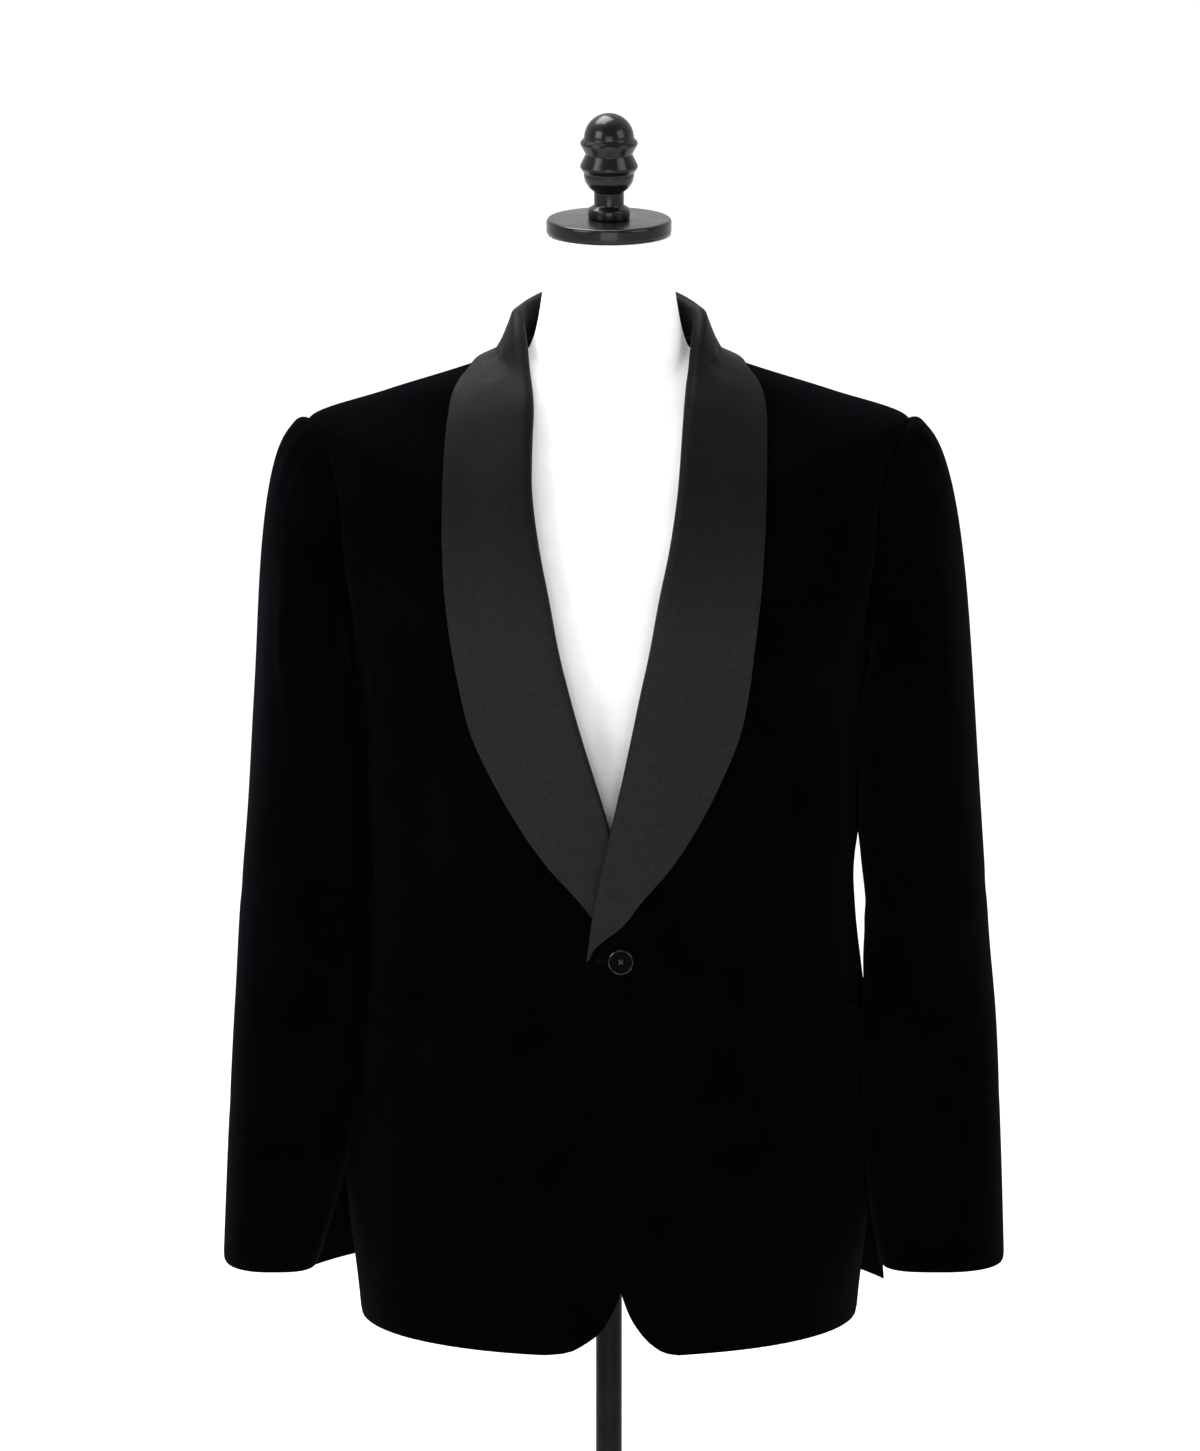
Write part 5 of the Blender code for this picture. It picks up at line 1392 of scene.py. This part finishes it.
def make_buttonhole():
    """The buttonhole's stitches, a row above and a row below the slit and a fan round its outer end."""
    end, near = BUTTONHOLE
    across = np.arange(end, near, HOLE_STITCH["apart"])
    half, reach = HOLE_STITCH["half"], HOLE_STITCH["reach"]
    slit = BUTTON_AT[1]
    fan = np.radians(np.linspace(100.0, 260.0, HOLE_STITCH["fan"]))
    starts = [(x, slit + way * half) for way in (1, -1) for x in across]
    ends = [(x, slit + way * reach) for way in (1, -1) for x in across]
    starts += [(end + half * np.cos(a), slit + half * np.sin(a)) for a in fan]
    ends += [(end + reach * np.cos(a), slit + reach * np.sin(a)) for a in fan]

    def laid(places):
        x, z = np.array(places).T
        return front_point("left", *on_figure(x, z), 0.0002 + 0 * x)

    thread_run("buttonhole_thread", laid(starts), laid(ends), THREAD, MATERIALS["thread"], "button",
               button_seat()[3] * 0.0003)


def make_pocket_tacks():
    """Bar tacks at the ends of the welt and the jets, each a few short upright stitches."""
    for side in ("left", "right"):
        places = [(JET_INNER[0] - 0.0006, JET_INNER[1], JET_HEIGHT),
                  (JET_OUTER[0] + 0.0002, JET_OUTER[1], JET_HEIGHT)]
        if side == "left":
            _, low, high = WELT_CORNERS["outer"]
            places.append((WELT_CORNERS["outer"][0] - 0.0016, (low + high) / 2, (high - low) / 2 - 0.002))
        starts, ends = [], []
        for x, z, half in places:
            lift = PATCH_AIR + VELVET if half > JET_HEIGHT else 0.0004
            count = max(3, int(half / TACK_STITCH))
            edges = np.linspace(z - half, z + half, count + 1)
            for low, high in zip(edges, edges[1:]):
                levels = np.array([low + TACK_HIDDEN, high - TACK_HIDDEN])
                ends_here = front_point(side, *on_figure(np.array([x, x]), levels), np.array([lift, lift]))
                starts.append(ends_here[0])
                ends.append(ends_here[1])
        starts, ends = np.array(starts), np.array(ends)
        if side == "right":
            starts[:, 0] *= -1.0
            ends[:, 0] *= -1.0
        thread_run(f"pocket_tacks_{side}", starts, ends, THREAD, MATERIALS["thread"], "velvet",
                   np.array([0.0, -0.0002, 0.0]))


# Dress form and stand

def make_form():
    """The padded torso of the dress form with its neck, one smooth closed skin with no limbs."""
    table = np.asarray(FORM)
    steps = np.linspace(0.0, len(table) - 1.0, FORM_ROWS)
    (heights,) = smooth_table(np.column_stack([np.arange(len(table)), table[:, 0]]), steps)
    angle = np.arange(FORM_COLUMNS)[None, :] * 360.0 / FORM_COLUMNS
    grid = ring_point(FORM, *np.broadcast_arrays(angle, heights[:, None]))
    points = np.concatenate([grid.reshape(-1, 3), grid[:1].mean(axis=1), grid[-1:].mean(axis=1)])
    at = np.arange(FORM_ROWS * FORM_COLUMNS).reshape(FORM_ROWS, FORM_COLUMNS)
    after = np.roll(at, -1, axis=1)
    quads = np.stack([at[:-1], after[:-1], after[1:], at[1:]], axis=-1).reshape(-1, 4).tolist()
    low, high = len(points) - 2, len(points) - 1
    caps = [(low, q, p) for p, q in zip(at[0].tolist(), after[0].tolist())]
    caps += [(high, p, q) for p, q in zip(at[-1].tolist(), after[-1].tolist())]
    around = np.broadcast_to(angle / 360.0, at.shape)
    uv = np.stack([around, np.broadcast_to(heights[:, None], at.shape)], axis=-1).reshape(-1, 2)
    uv = np.concatenate([uv, [[0.5, heights[0]], [0.5, heights[-1]]]])
    thing = make_piece("jersey_form", points, quads + caps, MATERIALS["jersey"], uv)
    dress(thing, "jersey", "form_torso")


def make_stand():
    """The turned parts: neck cap, finial, flange, pole and base, each with its corners softened."""
    cap = ((0.0, CAP_TOP), (CAP_RADIUS, CAP_TOP), (CAP_RADIUS, CAP_BOTTOM), (0.0, CAP_BOTTOM))
    turned("lacquer_cap", softened(cap, CAP_ROUND, 8), "cap", "neck_cap")

    dome_radius, dome_height = FINIAL_DOME
    rise = np.radians(np.linspace(90.0, 0.0, 16))
    dome = [(dome_radius * np.cos(turn), dome_height + dome_radius * np.sin(turn)) for turn in rise[1:]]
    foot = FINIAL[-1][0]
    finial = [(0.0, dome_height + dome_radius), *dome, *FINIAL, (foot, CAP_TOP + STAND_GAP),
              (0.0, CAP_TOP + STAND_GAP)]
    turned("lacquer_finial", softened(finial, 0.0010, 4), "cap", "finial")

    torso_bottom = FORM[0][0]
    flange = ((0.0, torso_bottom - STAND_GAP), (FLANGE_RADIUS, torso_bottom - STAND_GAP),
              (FLANGE_RADIUS, torso_bottom - FLANGE_THICK),
              (BOSS_RADIUS, torso_bottom - FLANGE_THICK - 0.004),
              (BOSS_RADIUS, POLE_TOP + STAND_GAP), (0.0, POLE_TOP + STAND_GAP))
    turned("coated_flange", softened(flange, 0.0015), "steel", "pole_collar")
    pole = ((0.0, POLE_TOP), (POLE_RADIUS, POLE_TOP), (POLE_RADIUS, POLE_BOTTOM), (0.0, POLE_BOTTOM))
    turned("coated_pole", softened(pole, 0.0008), "steel", "pole")
    base = ((0.0, BASE_BOSS_TOP), (BOSS_RADIUS, BASE_BOSS_TOP), (BOSS_RADIUS + 0.002, 0.018),
            (BASE_RADIUS * 0.55, 0.0125), (BASE_RADIUS - 0.003, BASE_EDGE), (BASE_RADIUS, BASE_EDGE - 0.003),
            (BASE_RADIUS, 0.0), (0.0, 0.0))
    turned("coated_base", softened(base, 0.0022), "steel", "base")


# Floor, light and camera

def make_floor():
    """A wide pale floor under the base."""
    size = 60.0
    corners = np.array([(-size, -size, 0.0), (size, -size, 0.0), (size, size, 0.0), (-size, size, 0.0)])
    material, tree, shader = new_material("pale_floor", Specular_IOR_Level=0.0, Emission_Strength=0.45,
                                          Emission_Color=(1.0, 1.0, 1.0, 1.0))
    tone = place_group(tree, UNEVEN_TONE, Vector=add_node(tree, "TexCoord").outputs["Object"], Scale=0.4)
    colour = blend_colour(tree, tone.outputs["Mask"], (0.92, 0.92, 0.92), (0.94, 0.94, 0.94))
    surface(tree, shader, colour, (tone.outputs["Mask"], 0.95, 1.0))
    mesh = bpy.data.meshes.new("floor")
    mesh.from_pydata((corners - (0.0, 0.0, 0.001)).tolist(), [], [(0, 1, 2, 3)])
    mesh.materials.append(material)
    floor = bpy.data.objects.new("floor", mesh)
    bpy.context.scene.collection.objects.link(floor)


def soft_light(name, place, size, power):
    """A large square light that faces the jacket."""
    lamp = bpy.data.lights.new(name, "AREA")
    lamp.size = size
    lamp.energy = power
    thing = bpy.data.objects.new(name, lamp)
    away = np.array(place) - np.array(LIGHT_AIM)
    thing.location = place
    tilt = np.arccos(away[2] / np.linalg.norm(away))
    thing.rotation_euler = (tilt, 0.0, np.arctan2(away[1], away[0]) + np.pi / 2)
    bpy.context.scene.collection.objects.link(thing)


def make_light():
    """A white studio, bright behind and dim in front, a key above on each side and a soft front light."""
    world = bpy.data.worlds.new("studio")
    world.use_nodes = True
    tree = world.node_tree
    way = add_node(tree, "TexCoord").outputs["Generated"]
    back = add_node(tree, "SeparateXYZ", Vector=way).outputs["Y"]
    glow = add_node(tree, "MapRange", {"interpolation_type": "SMOOTHSTEP"}, Value=back, From_Min=-0.3,
                    From_Max=0.5, To_Min=0.32, To_Max=1.0)
    tree.links.new(glow.outputs["Result"], tree.nodes["Background"].inputs["Strength"])
    tree.nodes["Background"].inputs["Color"].default_value = (1.0, 1.0, 1.0, 1.0)
    bpy.context.scene.world = world
    for name, place, size, power in LIGHTS:
        soft_light(name, place, size, power)


def make_white_point():
    """Plain colours, so that the pale floor shows as white as the photograph's ground."""
    bpy.context.scene.view_settings.view_transform = "Standard"


def make_camera():
    """The photograph's view: a long lens that frames 1451 pixels of height at the set distance."""
    lens = bpy.data.cameras.new("photo_view")
    lens.sensor_width = SENSOR
    lens.lens = SENSOR * VIEW_DISTANCE / (PHOTO_HEIGHT * PIXEL)
    lens.clip_end = 200.0
    camera = bpy.data.objects.new("photo_view", lens)
    tilt = np.radians(VIEW_TILT)
    away = np.array([0.0, -np.cos(tilt), np.sin(tilt)])
    camera.location = np.array(VIEW_CENTRE) + VIEW_DISTANCE * away
    camera.rotation_euler = (np.pi / 2 - tilt, 0.0, 0.0)
    bpy.context.scene.collection.objects.link(camera)
    bpy.context.scene.camera = camera


make_camera()
make_white_point()
for one_side in ("left", "right"):
    make_front(one_side)
    make_side(one_side)
    make_back(one_side)
    make_collar(one_side)
    make_sleeves(one_side)
    make_hip_pocket(one_side)
make_chest_welt()
make_button()
make_button_thread()
make_buttonhole()
make_pocket_tacks()
make_form()
make_stand()
make_floor()
make_light()
